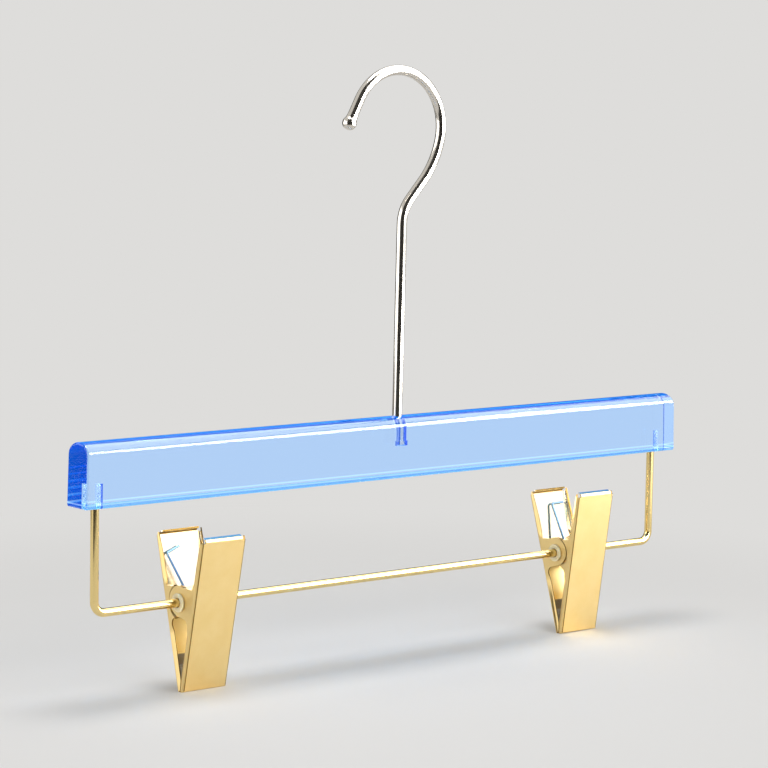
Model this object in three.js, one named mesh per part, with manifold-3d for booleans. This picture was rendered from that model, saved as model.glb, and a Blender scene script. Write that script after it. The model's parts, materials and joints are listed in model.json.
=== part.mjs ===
// Clip hanger for skirts and trousers: a clear blue acrylic bar that turns on a wire hook,
// with a gold wire rail under it that carries two sprung sheet-metal clips.
// Millimetres, +Z up, X along the bar. The origin is where the hook rests on a wardrobe rail.
import * as THREE from "three";
import { mergeVertices } from "three/addons/utils/BufferGeometryUtils.js";
import Module from "manifold-3d";

const wasm = await Module();
wasm.setup();

// Bar: a solid arch section with a domed top
const barLength = 300;
const barHeight = 24;
const barThickness = 13;
const domeHeight = 4.8;
const barEdgeRadius = 0.8;

// Hook: one bent wire with an upset ball at its tip and a head at its foot
const hookWire = 4;
const shaftRun = 88.8;
const neckBendRadius = 9;
const neckLean = 41.7;
const neckRun = 12;
const shoulderRadius = 35;
const shoulderTurn = 30;
const loopRadius = 22.1;
const tipTurnPastCrown = 62.6;
const tipRun = 10;
const hookLean = 0.5;
const ballDiameter = 5.6;
const ballFlat = 0.4;
const hookBoreDepth = 11.5;
const hookClearance = 0.45;
const headLip = 0.3;
const headHeight = 1.3;
const headClearance = 0.3;

// Rail: one wire bent to a U, with ringed spigots pressed into the bar's underside
const railWire = 3.2;
const railDrop = 39.5;
const legInset = 8;
const railBendRadius = 4.4;
const spigotDiameter = 2.5;
const spigotLength = 8.6;
const spigotRingHeight = 0.15;
const spigotRingPitch = 1.2;
const spigotClearance = 0.2;
const shoulderGap = 0.1;

// Clips: two stamped jaws each, closed tip to tip
const jawWidth = 20.4;
const jawLength = 60.5;
const tipToPivot = 32.9;
const pivotDepth = 9.3;
const sheet = 0.8;
const flangeDepth = 2.6;
const bendRadius = 1.2;
const cornerRelief = 0.6;
const earClearance = 0.3;
const earShoulder = 1;
const windowFillet = 2.4;
const leftClipFromLeg = 48;
const rightClipFromLeg = 44;
const leftClipSwing = -1.5;
const rightClipSwing = -4.8;

// Bushes: a flanged sleeve in each side of a clip
const railClearance = 0.25;
const bushWall = 0.65;
const bushFlangeDiameter = 7.1;
const bushFlangeThickness = 0.9;
const bushClearance = 0.3;
const bushSeatGap = 0.1;
const bushEndGap = 1;

// Torsion spring
const springWire = 1;
const springClearance = 0.3;
const springSideGap = 0.4;
const springWholeTurns = 4;
const outerLegFromLip = 6.1;
const innerLegFromLip = 8.4;
const springEndRun = 6.5;
const springEndBend = 1;
const leftSpringEndRise = 20;
const rightSpringEndRise = 0;

// Grip pads
const padTipThickness = 0.7;
const padGap = 0.3;
const padGlueGap = 0.1;
const padSideGap = 0.5;
const padBaseThickness = 1;
const padHeight = 13;
const padNoseHeight = 8;
const padGrooves = 3;
const padGroovePitch = 2;
const padGrooveDepth = 0.5;

// Facets
const bendStep = 9;
const wireSides = 12;
const springSides = 5;
const springStepsPerTurn = 8;
const turnedSides = 20;
const cornerSegments = 4;
const cutMargin = 5;

const toRadians = THREE.MathUtils.degToRad;
const axisX = new THREE.Vector3(1, 0, 0);
const axisY = new THREE.Vector3(0, 1, 0);
const axisZ = new THREE.Vector3(0, 0, 1);

// Wire work: straight runs and bends, kept as the stations that a wire's section is swept through
class StationPath extends THREE.Curve {
  constructor(stations) {
    super();
    this.stations = stations;
  }

  getPoint(t, target = new THREE.Vector3()) {
    const last = this.stations.length - 1;
    const index = Math.min(Math.floor(t * last), last - 1);
    return target.lerpVectors(this.stations[index], this.stations[index + 1], t * last - index);
  }

  getUtoTmapping(u) {
    return u;
  }
}

class WireBender {
  constructor(start, heading) {
    this.at = start.clone();
    this.heading = heading.clone().normalize();
    this.stations = [start.clone()];
  }

  run(length) {
    this.at.addScaledVector(this.heading, length);
    this.stations.push(this.at.clone());
    return this;
  }

  bend(axis, radius, degrees) {
    const centre = axis.clone().cross(this.heading).multiplyScalar(radius).add(this.at);
    const arm = this.at.clone().sub(centre);
    const count = Math.ceil(degrees / bendStep);
    for (let step = 1; step <= count; step++) {
      const turn = toRadians((degrees * step) / count);
      this.stations.push(arm.clone().applyAxisAngle(axis, turn).add(centre));
    }
    this.at.copy(this.stations.at(-1));
    this.heading.applyAxisAngle(axis, toRadians(degrees));
    return this;
  }

  turnTo(heading, radius) {
    const axis = this.heading.clone().cross(heading).normalize();
    return this.bend(axis, radius, THREE.MathUtils.radToDeg(this.heading.angleTo(heading)));
  }
}

// The hook's centre line, from its foot at the origin
function hookForm() {
  const turnLeft = axisY.clone().negate();
  const wire = new WireBender(new THREE.Vector3(), axisZ)
    .run(shaftRun)
    .bend(axisY, neckBendRadius, neckLean)
    .run(neckRun)
    .bend(turnLeft, shoulderRadius, shoulderTurn);
  const loopCentre = turnLeft.clone().cross(wire.heading).multiplyScalar(loopRadius).add(wire.at);
  wire.bend(turnLeft, loopRadius, neckLean - shoulderTurn + 90 + tipTurnPastCrown).run(tipRun);
  return { wire, loopCentre };
}

// Places and sizes that follow from the ones above. The origin lies on the inside of the hook's loop,
// over the middle of the bar, and the hook leans a little in its loose bore.
const hookLine = hookForm();
const loopCentre = hookLine.loopCentre.applyAxisAngle(axisY, toRadians(hookLean));
const loopInside = loopRadius - hookWire / 2;
const hookFoot = -Math.sqrt(loopInside ** 2 - loopCentre.x ** 2) - loopCentre.z;
const barTop = hookFoot - headClearance + hookBoreDepth;
const barBottom = barTop - barHeight;
const railZ = barBottom - railDrop;
const legX = barLength / 2 - legInset;
const hookBore = hookWire + 2 * hookClearance;
const headDiameter = hookBore + 2 * headLip;
const chamberDiameter = headDiameter + 2 * headClearance;
const chamberHeight = headHeight + 2 * headClearance;
const bushBore = railWire + 2 * railClearance;
const sleeveDiameter = bushBore + 2 * bushWall;
const earHole = sleeveDiameter + 2 * bushClearance;
const earRadius = pivotDepth - flangeDepth - earClearance;
const coilRadius = sleeveDiameter / 2 + springClearance + springWire / 2;
const jawTop = jawLength - tipToPivot;
const earStep = sheet + earClearance;
const springSpan = jawWidth / 2 - earStep - sheet - springSideGap - springWire / 2;

// The jaws close until their pads meet, which sets how far each leans from the clip's middle plane.
const tipHalf = sheet + padGlueGap + padTipThickness + padGap / 2;
const closedLean = Math.acos(tipHalf / Math.hypot(pivotDepth, tipToPivot)) - Math.atan2(tipToPivot, pivotDepth);

// Takes a profile that is drawn in Y and Z and pushed along X
const acrossX = new THREE.Matrix4().makeBasis(axisY, axisZ, axisX);

function solid(geometry) {
  const bare = geometry.index ? geometry.toNonIndexed() : geometry.clone();
  bare.deleteAttribute("normal");
  bare.deleteAttribute("uv");
  const merged = mergeVertices(bare, 1e-4);
  const vertProperties = new Float32Array(merged.attributes.position.array);
  const triVerts = new Uint32Array(merged.index.array);
  return new wasm.Manifold(new wasm.Mesh({ numProp: 3, vertProperties, triVerts }));
}

function geometryOf(body) {
  const mesh = body.getMesh();
  const geometry = new THREE.BufferGeometry();
  geometry.setAttribute("position", new THREE.BufferAttribute(mesh.vertProperties, 3));
  geometry.setIndex(new THREE.BufferAttribute(mesh.triVerts, 1));
  geometry.computeVertexNormals();
  return geometry;
}

function part(name, body, material) {
  const mesh = new THREE.Mesh(geometryOf(body), material);
  mesh.name = name;
  return mesh;
}

// A slab with a profile in the Y-Z plane, between two places along X
function slab(shape, fromX, toX, curveSegments = cornerSegments) {
  const options = { depth: toX - fromX, bevelEnabled: false, curveSegments };
  return solid(new THREE.ExtrudeGeometry(shape, options).translate(0, 0, fromX).applyMatrix4(acrossX));
}

// A turned piece whose profile gives radius and place along Z
function turned(profile) {
  return solid(new THREE.LatheGeometry(profile, turnedSides).rotateX(Math.PI / 2));
}

function cylinder(diameter, fromZ, toZ) {
  const corners = [[0, fromZ], [diameter / 2, fromZ], [diameter / 2, toZ], [0, toZ]];
  return turned(corners.map(([radius, z]) => new THREE.Vector2(radius, z)));
}

// The section of a sheet trough from low to high: its floor at one level, rounded into its two walls
function trough(low, high, floor, rim, radius) {
  const profile = new THREE.Path();
  profile.moveTo(low, rim);
  profile.lineTo(low, floor + radius);
  profile.absarc(low + radius, floor + radius, radius, Math.PI, 1.5 * Math.PI);
  profile.absarc(high - radius, floor + radius, radius, 1.5 * Math.PI, 2 * Math.PI);
  profile.lineTo(high, rim);
  return profile.getPoints(cornerSegments);
}

function wireAlong(stations, diameter, sides) {
  const ring = Array.from({ length: sides }, (_, side) => {
    const angle = (2 * Math.PI * side) / sides;
    return new THREE.Vector2(Math.cos(angle), Math.sin(angle)).multiplyScalar(diameter / 2);
  });
  const options = { steps: stations.length - 1, extrudePath: new StationPath(stations) };
  return solid(new THREE.ExtrudeGeometry(new THREE.Shape(ring), options));
}

function hangerBar() {
  const half = barThickness / 2;
  const shoulder = barTop - domeHeight;
  const section = new THREE.Shape();
  section.moveTo(-half, barBottom);
  section.lineTo(half, barBottom);
  section.lineTo(half, shoulder);
  section.absellipse(0, shoulder, half, domeHeight, 0, Math.PI);
  const options = {
    depth: barLength - 2 * barEdgeRadius,
    bevelSize: barEdgeRadius,
    bevelThickness: barEdgeRadius,
    bevelOffset: -barEdgeRadius,
    bevelSegments: 3,
    curveSegments: 10,
  };
  const blank = new THREE.ExtrudeGeometry(section, options);
  blank.translate(0, 0, -options.depth / 2).applyMatrix4(acrossX);

  const boreFoot = barTop - hookBoreDepth;
  const hookBoreCut = cylinder(hookBore, boreFoot, barTop + cutMargin);
  const chamberCut = cylinder(chamberDiameter, boreFoot, boreFoot + chamberHeight);
  const legBore = spigotDiameter + 2 * (spigotRingHeight + spigotClearance);
  const legBoreTop = barBottom + spigotLength + spigotClearance;
  const legCut = cylinder(legBore, barBottom - cutMargin, legBoreTop);
  return solid(blank)
    .subtract(hookBoreCut.add(chamberCut))
    .subtract(legCut.translate([-legX, 0, 0]))
    .subtract(legCut.translate([legX, 0, 0]));
}

function hook() {
  const { wire } = hookLine;

  // The ball swells out of the wire by a smooth neck and is a little flat at its end.
  const ball = ballDiameter / 2;
  const buried = 0.42 * hookWire;
  const profile = new THREE.Path();
  profile.moveTo(0, -2.2 * ball);
  profile.lineTo(buried, -2.2 * ball);
  profile.quadraticCurveTo(buried + 0.3, -1.1 * ball, ball * Math.cos(0.6), -ball * Math.sin(0.6));
  profile.absarc(0, 0, ball, -0.6, Math.asin(1 - ballFlat / ball));
  profile.lineTo(0, ball - ballFlat);
  const end = new THREE.LatheGeometry(profile.getPoints(4), turnedSides).rotateX(Math.PI / 2);
  end.applyQuaternion(new THREE.Quaternion().setFromUnitVectors(axisZ, wire.heading));
  end.translate(...wire.at.toArray());

  const head = cylinder(headDiameter, 0, headHeight);
  return wireAlong(wire.stations, hookWire, wireSides).add(solid(end)).add(head);
}

function clipRail() {
  const shoulder = barBottom - shoulderGap;
  const drop = shoulder - railZ - railBendRadius;
  const turnOut = axisY.clone().negate();
  const wire = new WireBender(new THREE.Vector3(-legX, 0, shoulder), axisZ.clone().negate())
    .run(drop)
    .bend(turnOut, railBendRadius, 90)
    .run(2 * (legX - railBendRadius))
    .bend(turnOut, railBendRadius, 90)
    .run(drop);

  const root = spigotDiameter / 2;
  const crest = root + spigotRingHeight;
  const buried = railWire / 2;
  const rings = Math.floor((spigotLength - spigotRingPitch) / spigotRingPitch);
  const profile = [new THREE.Vector2(0, -buried), new THREE.Vector2(root, -buried)];
  for (let ring = 0; ring < rings; ring++) {
    const low = (ring + 0.5) * spigotRingPitch;
    profile.push(new THREE.Vector2(root, low));
    profile.push(new THREE.Vector2(crest, low + 0.25 * spigotRingPitch));
    profile.push(new THREE.Vector2(crest, low + 0.6 * spigotRingPitch));
  }
  profile.push(new THREE.Vector2(root, spigotLength - root / 2));
  profile.push(new THREE.Vector2(root / 2, spigotLength));
  profile.push(new THREE.Vector2(0, spigotLength));
  const spigot = turned(profile);
  return wireAlong(wire.stations, railWire, wireSides)
    .add(spigot.translate([-legX, 0, shoulder]))
    .add(spigot.translate([legX, 0, shoulder]));
}

// A jaw is drawn with its plate upright, the pivot at the origin and its outer face at -pivotDepth.
// The closing plane is the clip's middle plane, seen from the leaning jaw, less half the gap there.
function closingPlane(z) {
  return z * Math.tan(closedLean) - padGap / 2 / Math.cos(closedLean);
}

function jawBlank(inset) {
  const half = jawWidth / 2 - inset;
  const foot = -tipToPivot + inset;
  const top = jawTop - inset;
  const floor = -pivotDepth + inset;
  const rim = floor + flangeDepth + cutMargin;
  const radius = bendRadius - inset;
  const across = new THREE.Shape(trough(-half, half, floor, rim, radius));
  const along = new THREE.Shape(trough(foot, top, floor, rim, radius).map(({ x, y }) => new THREE.Vector2(y, x)));
  const options = { depth: 2 * jawLength, bevelEnabled: false };
  const channel = solid(new THREE.ExtrudeGeometry(across, options).translate(0, 0, -jawLength));
  return channel.intersect(slab(along, -jawWidth, jawWidth));
}

function jawPan() {
  // Seen from the side the flanges have an even depth, and run out where the jaws close on their tips.
  const face = -pivotDepth;
  const edge = face + flangeDepth;
  const below = -tipToPivot - cutMargin;
  const above = jawTop + cutMargin;
  const runOut = (edge + padGap / 2 / Math.cos(closedLean)) / Math.tan(closedLean);
  const band = new THREE.Shape();
  band.moveTo(face - cutMargin, below);
  band.lineTo(closingPlane(below), below);
  band.lineTo(edge, runOut);
  band.lineTo(edge, above);
  band.lineTo(face - cutMargin, above);

  // The top lip stops short of the side flanges, so the bent corners stay open.
  const notch = jawTop - sheet - cornerRelief;
  const gap = new THREE.Shape();
  gap.moveTo(face + bendRadius, notch);
  gap.lineTo(edge + cutMargin, notch);
  gap.lineTo(edge + cutMargin, above);
  gap.lineTo(face + bendRadius, above);
  const wall = jawWidth / 2 - sheet;
  const relief = slab(gap, wall - cornerRelief, wall).add(slab(gap, -wall, -wall + cornerRelief));
  return jawBlank(0)
    .subtract(jawBlank(sheet))
    .intersect(slab(band, -jawWidth, jawWidth))
    .subtract(relief);
}

// The ears reach across from the flanges to the pivot. Those of the inner jaw step inwards, so that
// they lie inside those of the outer jaw.
function jawEars(stepped) {
  const edge = -pivotDepth + flangeDepth;
  const root = -pivotDepth + bendRadius;
  const outline = new THREE.Shape();
  outline.moveTo(root, earRadius + earShoulder);
  outline.lineTo(root, -earRadius - windowFillet);
  outline.lineTo(edge, -earRadius - windowFillet);
  outline.absarc(edge + windowFillet, -earRadius - windowFillet, windowFillet, Math.PI, Math.PI / 2, true);
  outline.absarc(0, 0, earRadius, -Math.PI / 2, Math.PI / 2);
  outline.lineTo(edge, earRadius + earShoulder);
  const silhouette = slab(outline, -jawWidth, jawWidth, 7);

  const out = jawWidth / 2;
  const step = stepped ? earStep : 0;
  const reach = earRadius + cutMargin;
  const wall = new THREE.Shape();
  wall.moveTo(out - sheet, root);
  wall.lineTo(out, root);
  wall.lineTo(out - step, edge);
  wall.lineTo(out - step, reach);
  wall.lineTo(out - step - sheet, reach);
  wall.lineTo(out - step - sheet, edge);
  const height = 2 * (earRadius + windowFillet + cutMargin);
  const options = { depth: height, bevelEnabled: false };
  const right = solid(new THREE.ExtrudeGeometry(wall, options).translate(0, 0, -height / 2));
  const left = right.mirror([1, 0, 0]);
  return silhouette.intersect(right.add(left));
}

function jaw(stepped) {
  const hole = cylinder(earHole, -jawWidth, jawWidth).rotate([0, 90, 0]);
  return jawPan().add(jawEars(stepped)).subtract(hole);
}

function gripPad() {
  const back = -pivotDepth + sheet + padGlueGap;
  const foot = -tipToPivot + sheet + padSideGap;
  const noseTop = foot + padNoseHeight;
  const top = foot + padHeight;
  const profile = new THREE.Shape();
  profile.moveTo(back, foot);
  profile.lineTo(closingPlane(foot), foot);
  for (let groove = 1; groove <= padGrooves; groove++) {
    const middle = foot + groove * padGroovePitch;
    profile.lineTo(closingPlane(middle - padGrooveDepth), middle - padGrooveDepth);
    profile.lineTo(closingPlane(middle) - padGrooveDepth, middle);
    profile.lineTo(closingPlane(middle + padGrooveDepth), middle + padGrooveDepth);
  }
  profile.lineTo(closingPlane(noseTop), noseTop);
  profile.lineTo(back + padBaseThickness, noseTop + padBaseThickness);
  profile.lineTo(back + padBaseThickness, top - padBaseThickness / 2);
  profile.lineTo(back + padBaseThickness / 2, top);
  profile.lineTo(back, top);
  const half = jawWidth / 2 - sheet - padSideGap;
  return slab(profile, -half, half);
}

// A flanged sleeve on the clip's +X side, turned about the rail
function bush() {
  const seat = jawWidth / 2 + bushSeatGap;
  const bore = bushBore / 2;
  const sleeve = sleeveDiameter / 2;
  const flange = bushFlangeDiameter / 2;
  const edge = 0.3 * bushFlangeThickness;
  const corners = [
    [bore, bushEndGap / 2],
    [sleeve, bushEndGap / 2],
    [sleeve, seat],
    [flange, seat],
    [flange, seat + bushFlangeThickness - edge],
    [flange - edge, seat + bushFlangeThickness],
    [bore, seat + bushFlangeThickness],
    [bore, bushEndGap / 2],
  ];
  return turned(corners.map(([radius, x]) => new THREE.Vector2(radius, x))).rotate([0, 90, 0]);
}

// Each leg of the spring bears on a plate inside, with its end bent back along the coil. The outer jaw's
// leg leaves the coil at the clip's middle and the inner jaw's leg at the coil's other end. A spring wound
// one way has its legs on their own sides of the rail, and one wound the other way has them crossed.
function springStations(crossed, endRise) {
  const seatY = -pivotDepth + sheet + springClearance + springWire / 2;
  const rise = toRadians(endRise);
  const plan = (side, x, reach) => {
    const seat = new THREE.Vector3(0, seatY, reach).applyAxisAngle(axisX, closedLean);
    const corner = new THREE.Vector3(x, -side * seat.y, seat.z);
    const distance = Math.hypot(seat.y, seat.z);
    const end = new THREE.Vector3(0, side * Math.sin(closedLean), Math.cos(closedLean))
      .multiplyScalar(Math.sin(rise))
      .addScaledVector(axisX, side * Math.cos(rise));
    return {
      x,
      corner,
      end,
      length: Math.sqrt(distance ** 2 - coilRadius ** 2),
      angle: Math.atan2(corner.z, corner.y),
      spread: Math.acos(coilRadius / distance),
    };
  };
  const outer = plan(-1, 0, jawTop - outerLegFromLip);
  const inner = plan(1, -springSpan, jawTop - innerLegFromLip);
  const [first, last] = crossed ? [inner, outer] : [outer, inner];
  const startAngle = first.angle + first.spread;
  const turn = last.angle - last.spread - startAngle + 2 * Math.PI * springWholeTurns;
  const tangent = (angle) => new THREE.Vector3(0, -Math.sin(angle), Math.cos(angle));
  const setback = (from, to) => springEndBend * Math.tan(from.angleTo(to) / 2);

  const inward = first.end.clone().negate();
  const down = tangent(startAngle);
  const firstSetback = setback(inward, down);
  const tip = first.corner.clone().addScaledVector(first.end, springEndRun);
  const wire = new WireBender(tip, inward)
    .run(springEndRun - firstSetback)
    .turnTo(down, springEndBend)
    .run(first.length - firstSetback);
  const steps = Math.ceil((turn / (2 * Math.PI)) * springStepsPerTurn);
  for (let step = 1; step <= steps; step++) {
    const angle = startAngle + (turn * step) / steps;
    const x = first.x + ((last.x - first.x) * step) / steps;
    wire.stations.push(new THREE.Vector3(x, coilRadius * Math.cos(angle), coilRadius * Math.sin(angle)));
  }
  wire.at.copy(wire.stations.at(-1));
  wire.heading.copy(tangent(startAngle + turn));
  const lastSetback = setback(wire.heading, last.end);
  return wire
    .run(last.length - lastSetback)
    .turnTo(last.end, springEndBend)
    .run(springEndRun - lastSetback).stations;
}

// The least distance between stretches of the spring that lie over one coil radius apart along it
function leastSpringGap(stations) {
  const points = [];
  const along = [];
  let travelled = 0;
  stations.slice(1).forEach((end, index) => {
    const start = stations[index];
    const length = start.distanceTo(end);
    const count = Math.ceil(length / (springWire / 4));
    for (let i = 0; i < count; i++) {
      points.push(start.clone().lerp(end, i / count));
      along.push(travelled + (length * i) / count);
    }
    travelled += length;
  });
  let least = Infinity;
  points.forEach((point, i) => {
    for (let j = i + 1; j < points.length; j++) {
      if (along[j] - along[i] > 2 * coilRadius) least = Math.min(least, point.distanceTo(points[j]));
    }
  });
  return least - springWire;
}

const finishes = {
  acrylic: { color: 0x9fc0f2, roughness: 0.05, metalness: 0, transparent: true, opacity: 0.55 },
  nickel: { color: 0xd9d9d6, roughness: 0.12, metalness: 1 },
  goldWire: { color: 0xe6c77a, roughness: 0.15, metalness: 1 },
  goldSheet: { color: 0xe9c987, roughness: 0.35, metalness: 1 },
  springSteel: { color: 0xb9c2cb, roughness: 0.25, metalness: 1 },
  milkyNylon: { color: 0xe8e2d2, roughness: 0.4, metalness: 0, transparent: true, opacity: 0.7 },
  smokyVinyl: { color: 0xa79c88, roughness: 0.5, metalness: 0 },
};
const finish = (name) => new THREE.MeshStandardMaterial(finishes[name]);

const springPaths = {
  left: springStations(true, leftSpringEndRise),
  right: springStations(false, rightSpringEndRise),
};
for (const [side, path] of Object.entries(springPaths)) {
  console.log(`least gap between the ${side} spring's turns: ${leastSpringGap(path).toFixed(2)} mm`);
}
const clipSolids = {
  outerJaw: jaw(false),
  innerJaw: jaw(true),
  pad: gripPad(),
  bush: bush(),
};

// A clip hangs on the rail with its outer jaw in front, or turned about so that it is behind.
function clip(side, x, swing, turnedAbout) {
  const jaws = ["outer", "inner"].map((kind, index) => {
    const leaning = new THREE.Group();
    leaning.add(part(`${side}_clip_${kind}_jaw`, clipSolids[`${kind}Jaw`], finish("goldSheet")));
    leaning.add(part(`${side}_clip_${kind}_pad`, clipSolids.pad, finish("smokyVinyl")));
    leaning.rotation.x = closedLean;
    const facing = new THREE.Group();
    facing.add(leaning);
    facing.rotation.z = index * Math.PI;
    return facing;
  });
  const bushes = ["first", "second"].map((order, index) => {
    const sleeve = part(`${side}_clip_${order}_bush`, clipSolids.bush, finish("milkyNylon"));
    sleeve.rotation.z = (1 - index) * Math.PI;
    return sleeve;
  });
  const coil = wireAlong(springPaths[side], springWire, springSides);
  const spring = part(`${side}_clip_spring`, coil, finish("springSteel"));

  const assembled = new THREE.Group();
  assembled.add(...jaws, ...bushes, spring);
  assembled.rotation.z = turnedAbout ? Math.PI : 0;
  const hung = new THREE.Group();
  hung.add(assembled);
  hung.position.set(x, 0, railZ);
  hung.rotation.x = toRadians(swing);
  return hung;
}

const hanger = new THREE.Group();
hanger.add(part("hanger_bar", hangerBar(), finish("acrylic")));
const hookMesh = part("hook", hook(), finish("nickel"));
hookMesh.position.z = hookFoot;
hookMesh.rotation.y = toRadians(hookLean);
hanger.add(hookMesh);
hanger.add(part("clip_rail", clipRail(), finish("goldWire")));
hanger.add(clip("left", leftClipFromLeg - legX, leftClipSwing, false));
hanger.add(clip("right", legX - rightClipFromLeg, rightClipSwing, true));

export default hanger;
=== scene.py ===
# %% [markdown]
# # A clip hanger in Blender
# This lesson dresses a finished CAD model of a skirt hanger: a clear blue bar on a wire hook, and a gold
# rail under it with two sprung clips. The CAD solids already have the right sizes and move on the right
# joints, but their wires have twelve flat sides and their sheet has hard corners. So each piece is made
# again here, finer and in the same place, and tied to the CAD body that carries it.

import json
import math

import bmesh
import bpy
from mathutils import Matrix, Vector


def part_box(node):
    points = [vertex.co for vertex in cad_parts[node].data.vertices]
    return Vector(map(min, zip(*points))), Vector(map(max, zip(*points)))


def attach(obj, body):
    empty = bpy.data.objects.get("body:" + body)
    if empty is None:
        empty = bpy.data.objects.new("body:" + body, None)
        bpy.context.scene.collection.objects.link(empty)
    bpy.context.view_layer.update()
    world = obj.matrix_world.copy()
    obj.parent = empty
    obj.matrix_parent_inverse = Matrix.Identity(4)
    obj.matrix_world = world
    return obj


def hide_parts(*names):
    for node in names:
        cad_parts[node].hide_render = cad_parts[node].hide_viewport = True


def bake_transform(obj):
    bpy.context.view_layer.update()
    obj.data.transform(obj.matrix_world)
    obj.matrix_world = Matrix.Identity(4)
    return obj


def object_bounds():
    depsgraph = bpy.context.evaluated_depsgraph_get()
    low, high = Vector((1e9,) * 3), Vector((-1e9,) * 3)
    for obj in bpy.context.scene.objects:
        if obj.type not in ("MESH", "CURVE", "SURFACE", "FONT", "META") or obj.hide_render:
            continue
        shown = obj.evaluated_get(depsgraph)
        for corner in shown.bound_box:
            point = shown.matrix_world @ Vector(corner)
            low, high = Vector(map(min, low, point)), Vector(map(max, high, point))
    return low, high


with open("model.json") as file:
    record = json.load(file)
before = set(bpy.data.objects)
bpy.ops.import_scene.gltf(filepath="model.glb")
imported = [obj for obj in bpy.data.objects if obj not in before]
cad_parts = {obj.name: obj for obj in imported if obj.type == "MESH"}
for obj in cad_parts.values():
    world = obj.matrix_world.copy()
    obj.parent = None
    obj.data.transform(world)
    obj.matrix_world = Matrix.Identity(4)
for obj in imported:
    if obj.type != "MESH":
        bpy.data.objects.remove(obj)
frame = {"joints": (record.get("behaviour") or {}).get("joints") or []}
cad_bounds = [list(corner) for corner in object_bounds()]
MM = 0.001
print("CAD box in mm:", [[round(v / MM, 1) for v in corner] for corner in cad_bounds])

# %% [markdown]
# ## Helpers for all node trees
# Materials and Geometry Nodes are both node trees. One function adds a node, sets its options, and fills
# each input with a value or with a link from another node's output. The short ones after it make the few
# kinds of node that every finish here is built from: sums, ramps, noise, mixed colours and fine relief.

# %% Node helpers and colours
def add_node(tree, kind, inputs=None, **settings):
    node = tree.nodes.new(kind)
    for option, value in settings.items():
        setattr(node, option, value)
    for key, value in (inputs or {}).items():
        if isinstance(value, bpy.types.NodeSocket):
            tree.links.new(value, node.inputs[key])
        else:
            node.inputs[key].default_value = value
    return node


def worked_out(tree, operation, *values):
    """The result of one sum."""
    return add_node(tree, "ShaderNodeMath", dict(enumerate(values)), operation=operation).outputs[0]


def ramp(tree, value, start, stop, low=0.0, high=1.0, **settings):
    """Goes from low to high while the value goes from start to stop, and holds still beyond."""
    limits = {"Value": value, "From Min": start, "From Max": stop, "To Min": low, "To Max": high}
    return add_node(tree, "ShaderNodeMapRange", limits, **settings).outputs["Result"]


def patches(tree, place, size_mm, detail, roughness=0.5):
    """Noise whose patches have about this size."""
    sizes = {"Vector": place, "Scale": 1 / (size_mm * MM), "Detail": detail, "Roughness": roughness}
    return add_node(tree, "ShaderNodeTexNoise", sizes).outputs["Fac"]


def blended(tree, share, first, second):
    """A colour between two others."""
    colours = {"Factor": share, 6: first, 7: second}
    return add_node(tree, "ShaderNodeMix", colours, data_type="RGBA").outputs[2]


def dented(tree, height, strength, depth_mm):
    """Which way the surface faces when it has a fine relief."""
    sizes = {"Strength": strength, "Distance": depth_mm * MM, "Height": height}
    return add_node(tree, "ShaderNodeBump", sizes).outputs["Normal"]


def object_place(tree):
    return add_node(tree, "ShaderNodeTexCoord").outputs["Object"]


def height_of(tree, place):
    return add_node(tree, "ShaderNodeSeparateXYZ", {"Vector": place}).outputs["Z"]


def linear(code):
    """An sRGB hex colour as the linear numbers that the renderer works in."""
    channels = [int(code[i : i + 2], 16) / 255 for i in (1, 3, 5)]
    return [c / 12.92 if c <= 0.04045 else ((c + 0.055) / 1.055) ** 2.4 for c in channels] + [1.0]


def new_material(name):
    material = bpy.data.materials.new(name)
    material.use_nodes = True
    material.node_tree.nodes.clear()
    return material, material.node_tree


def coat(tree, looks, **more):
    """Gives the shader its looks and leads it to the material's output."""
    surface = add_node(tree, "ShaderNodeBsdfPrincipled", looks)
    add_node(tree, "ShaderNodeOutputMaterial", {"Surface": surface.outputs["BSDF"], **more})


print("mid grey in linear light:", round(linear("#808080")[0], 3))

# %% [markdown]
# ## Cast acrylic
# The bar is cast acrylic dyed blue and polished. Light that goes through it loses its red, then its green,
# so thin places look pale and the long way through the bar's end looks deep blue. Volume absorption does
# exactly that. Some of its blue is painted light: a weak blue emission on the skin is painted, and it is
# brighter along the top, where it paints the bright line along the crown. Along the bottom, the rounded
# edge is painted azure in the surface colour, a painted stripe of light, and a pale emitted line over it is
# a painted reflection. The polish leaves a faint ripple and a haze of fine wiping marks, which show only in
# reflections.

# %% Acrylic
ACRYLIC_IOR = 1.49
RIPPLE_MM, RIPPLE, RIPPLE_DEPTH_MM = 14, 0.002, 0.2
HAZE_MM, HAZE_FROM, HAZE_TO, HAZE_ROUGHNESS = 3, 0.45, 0.75, 0.03
DYE, DYE_DENSITY = (0.0, 0.54, 1.0, 1), 42.0
# The five lines from here set painted light: emission and surface colour for light seen along the bar's
# edges.
PAINTED_GLOW, PAINTED_SKIN_GLOW = (0.0, 0.3, 1.0, 1), 0.09
PAINTED_TOP_GLOW, PAINTED_TOP_GLOW_MM, PAINTED_TOP_GLOW_FULL_MM = 0.26, 1.0, 0.4
CLEAR = (1, 1, 1, 1)
PAINTED_BAND, PAINTED_BAND_MM, PAINTED_BAND_FULL_MM = (0.22, 0.74, 1.0, 1), 0.8, 0.56
PAINTED_PALE, PAINTED_PALE_GLOW = (0.55, 0.85, 1.0, 1), 0.28
PAINTED_PALE_LINE_MM, PAINTED_PALE_LINE_HALF_MM = 1.55, 0.3

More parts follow.
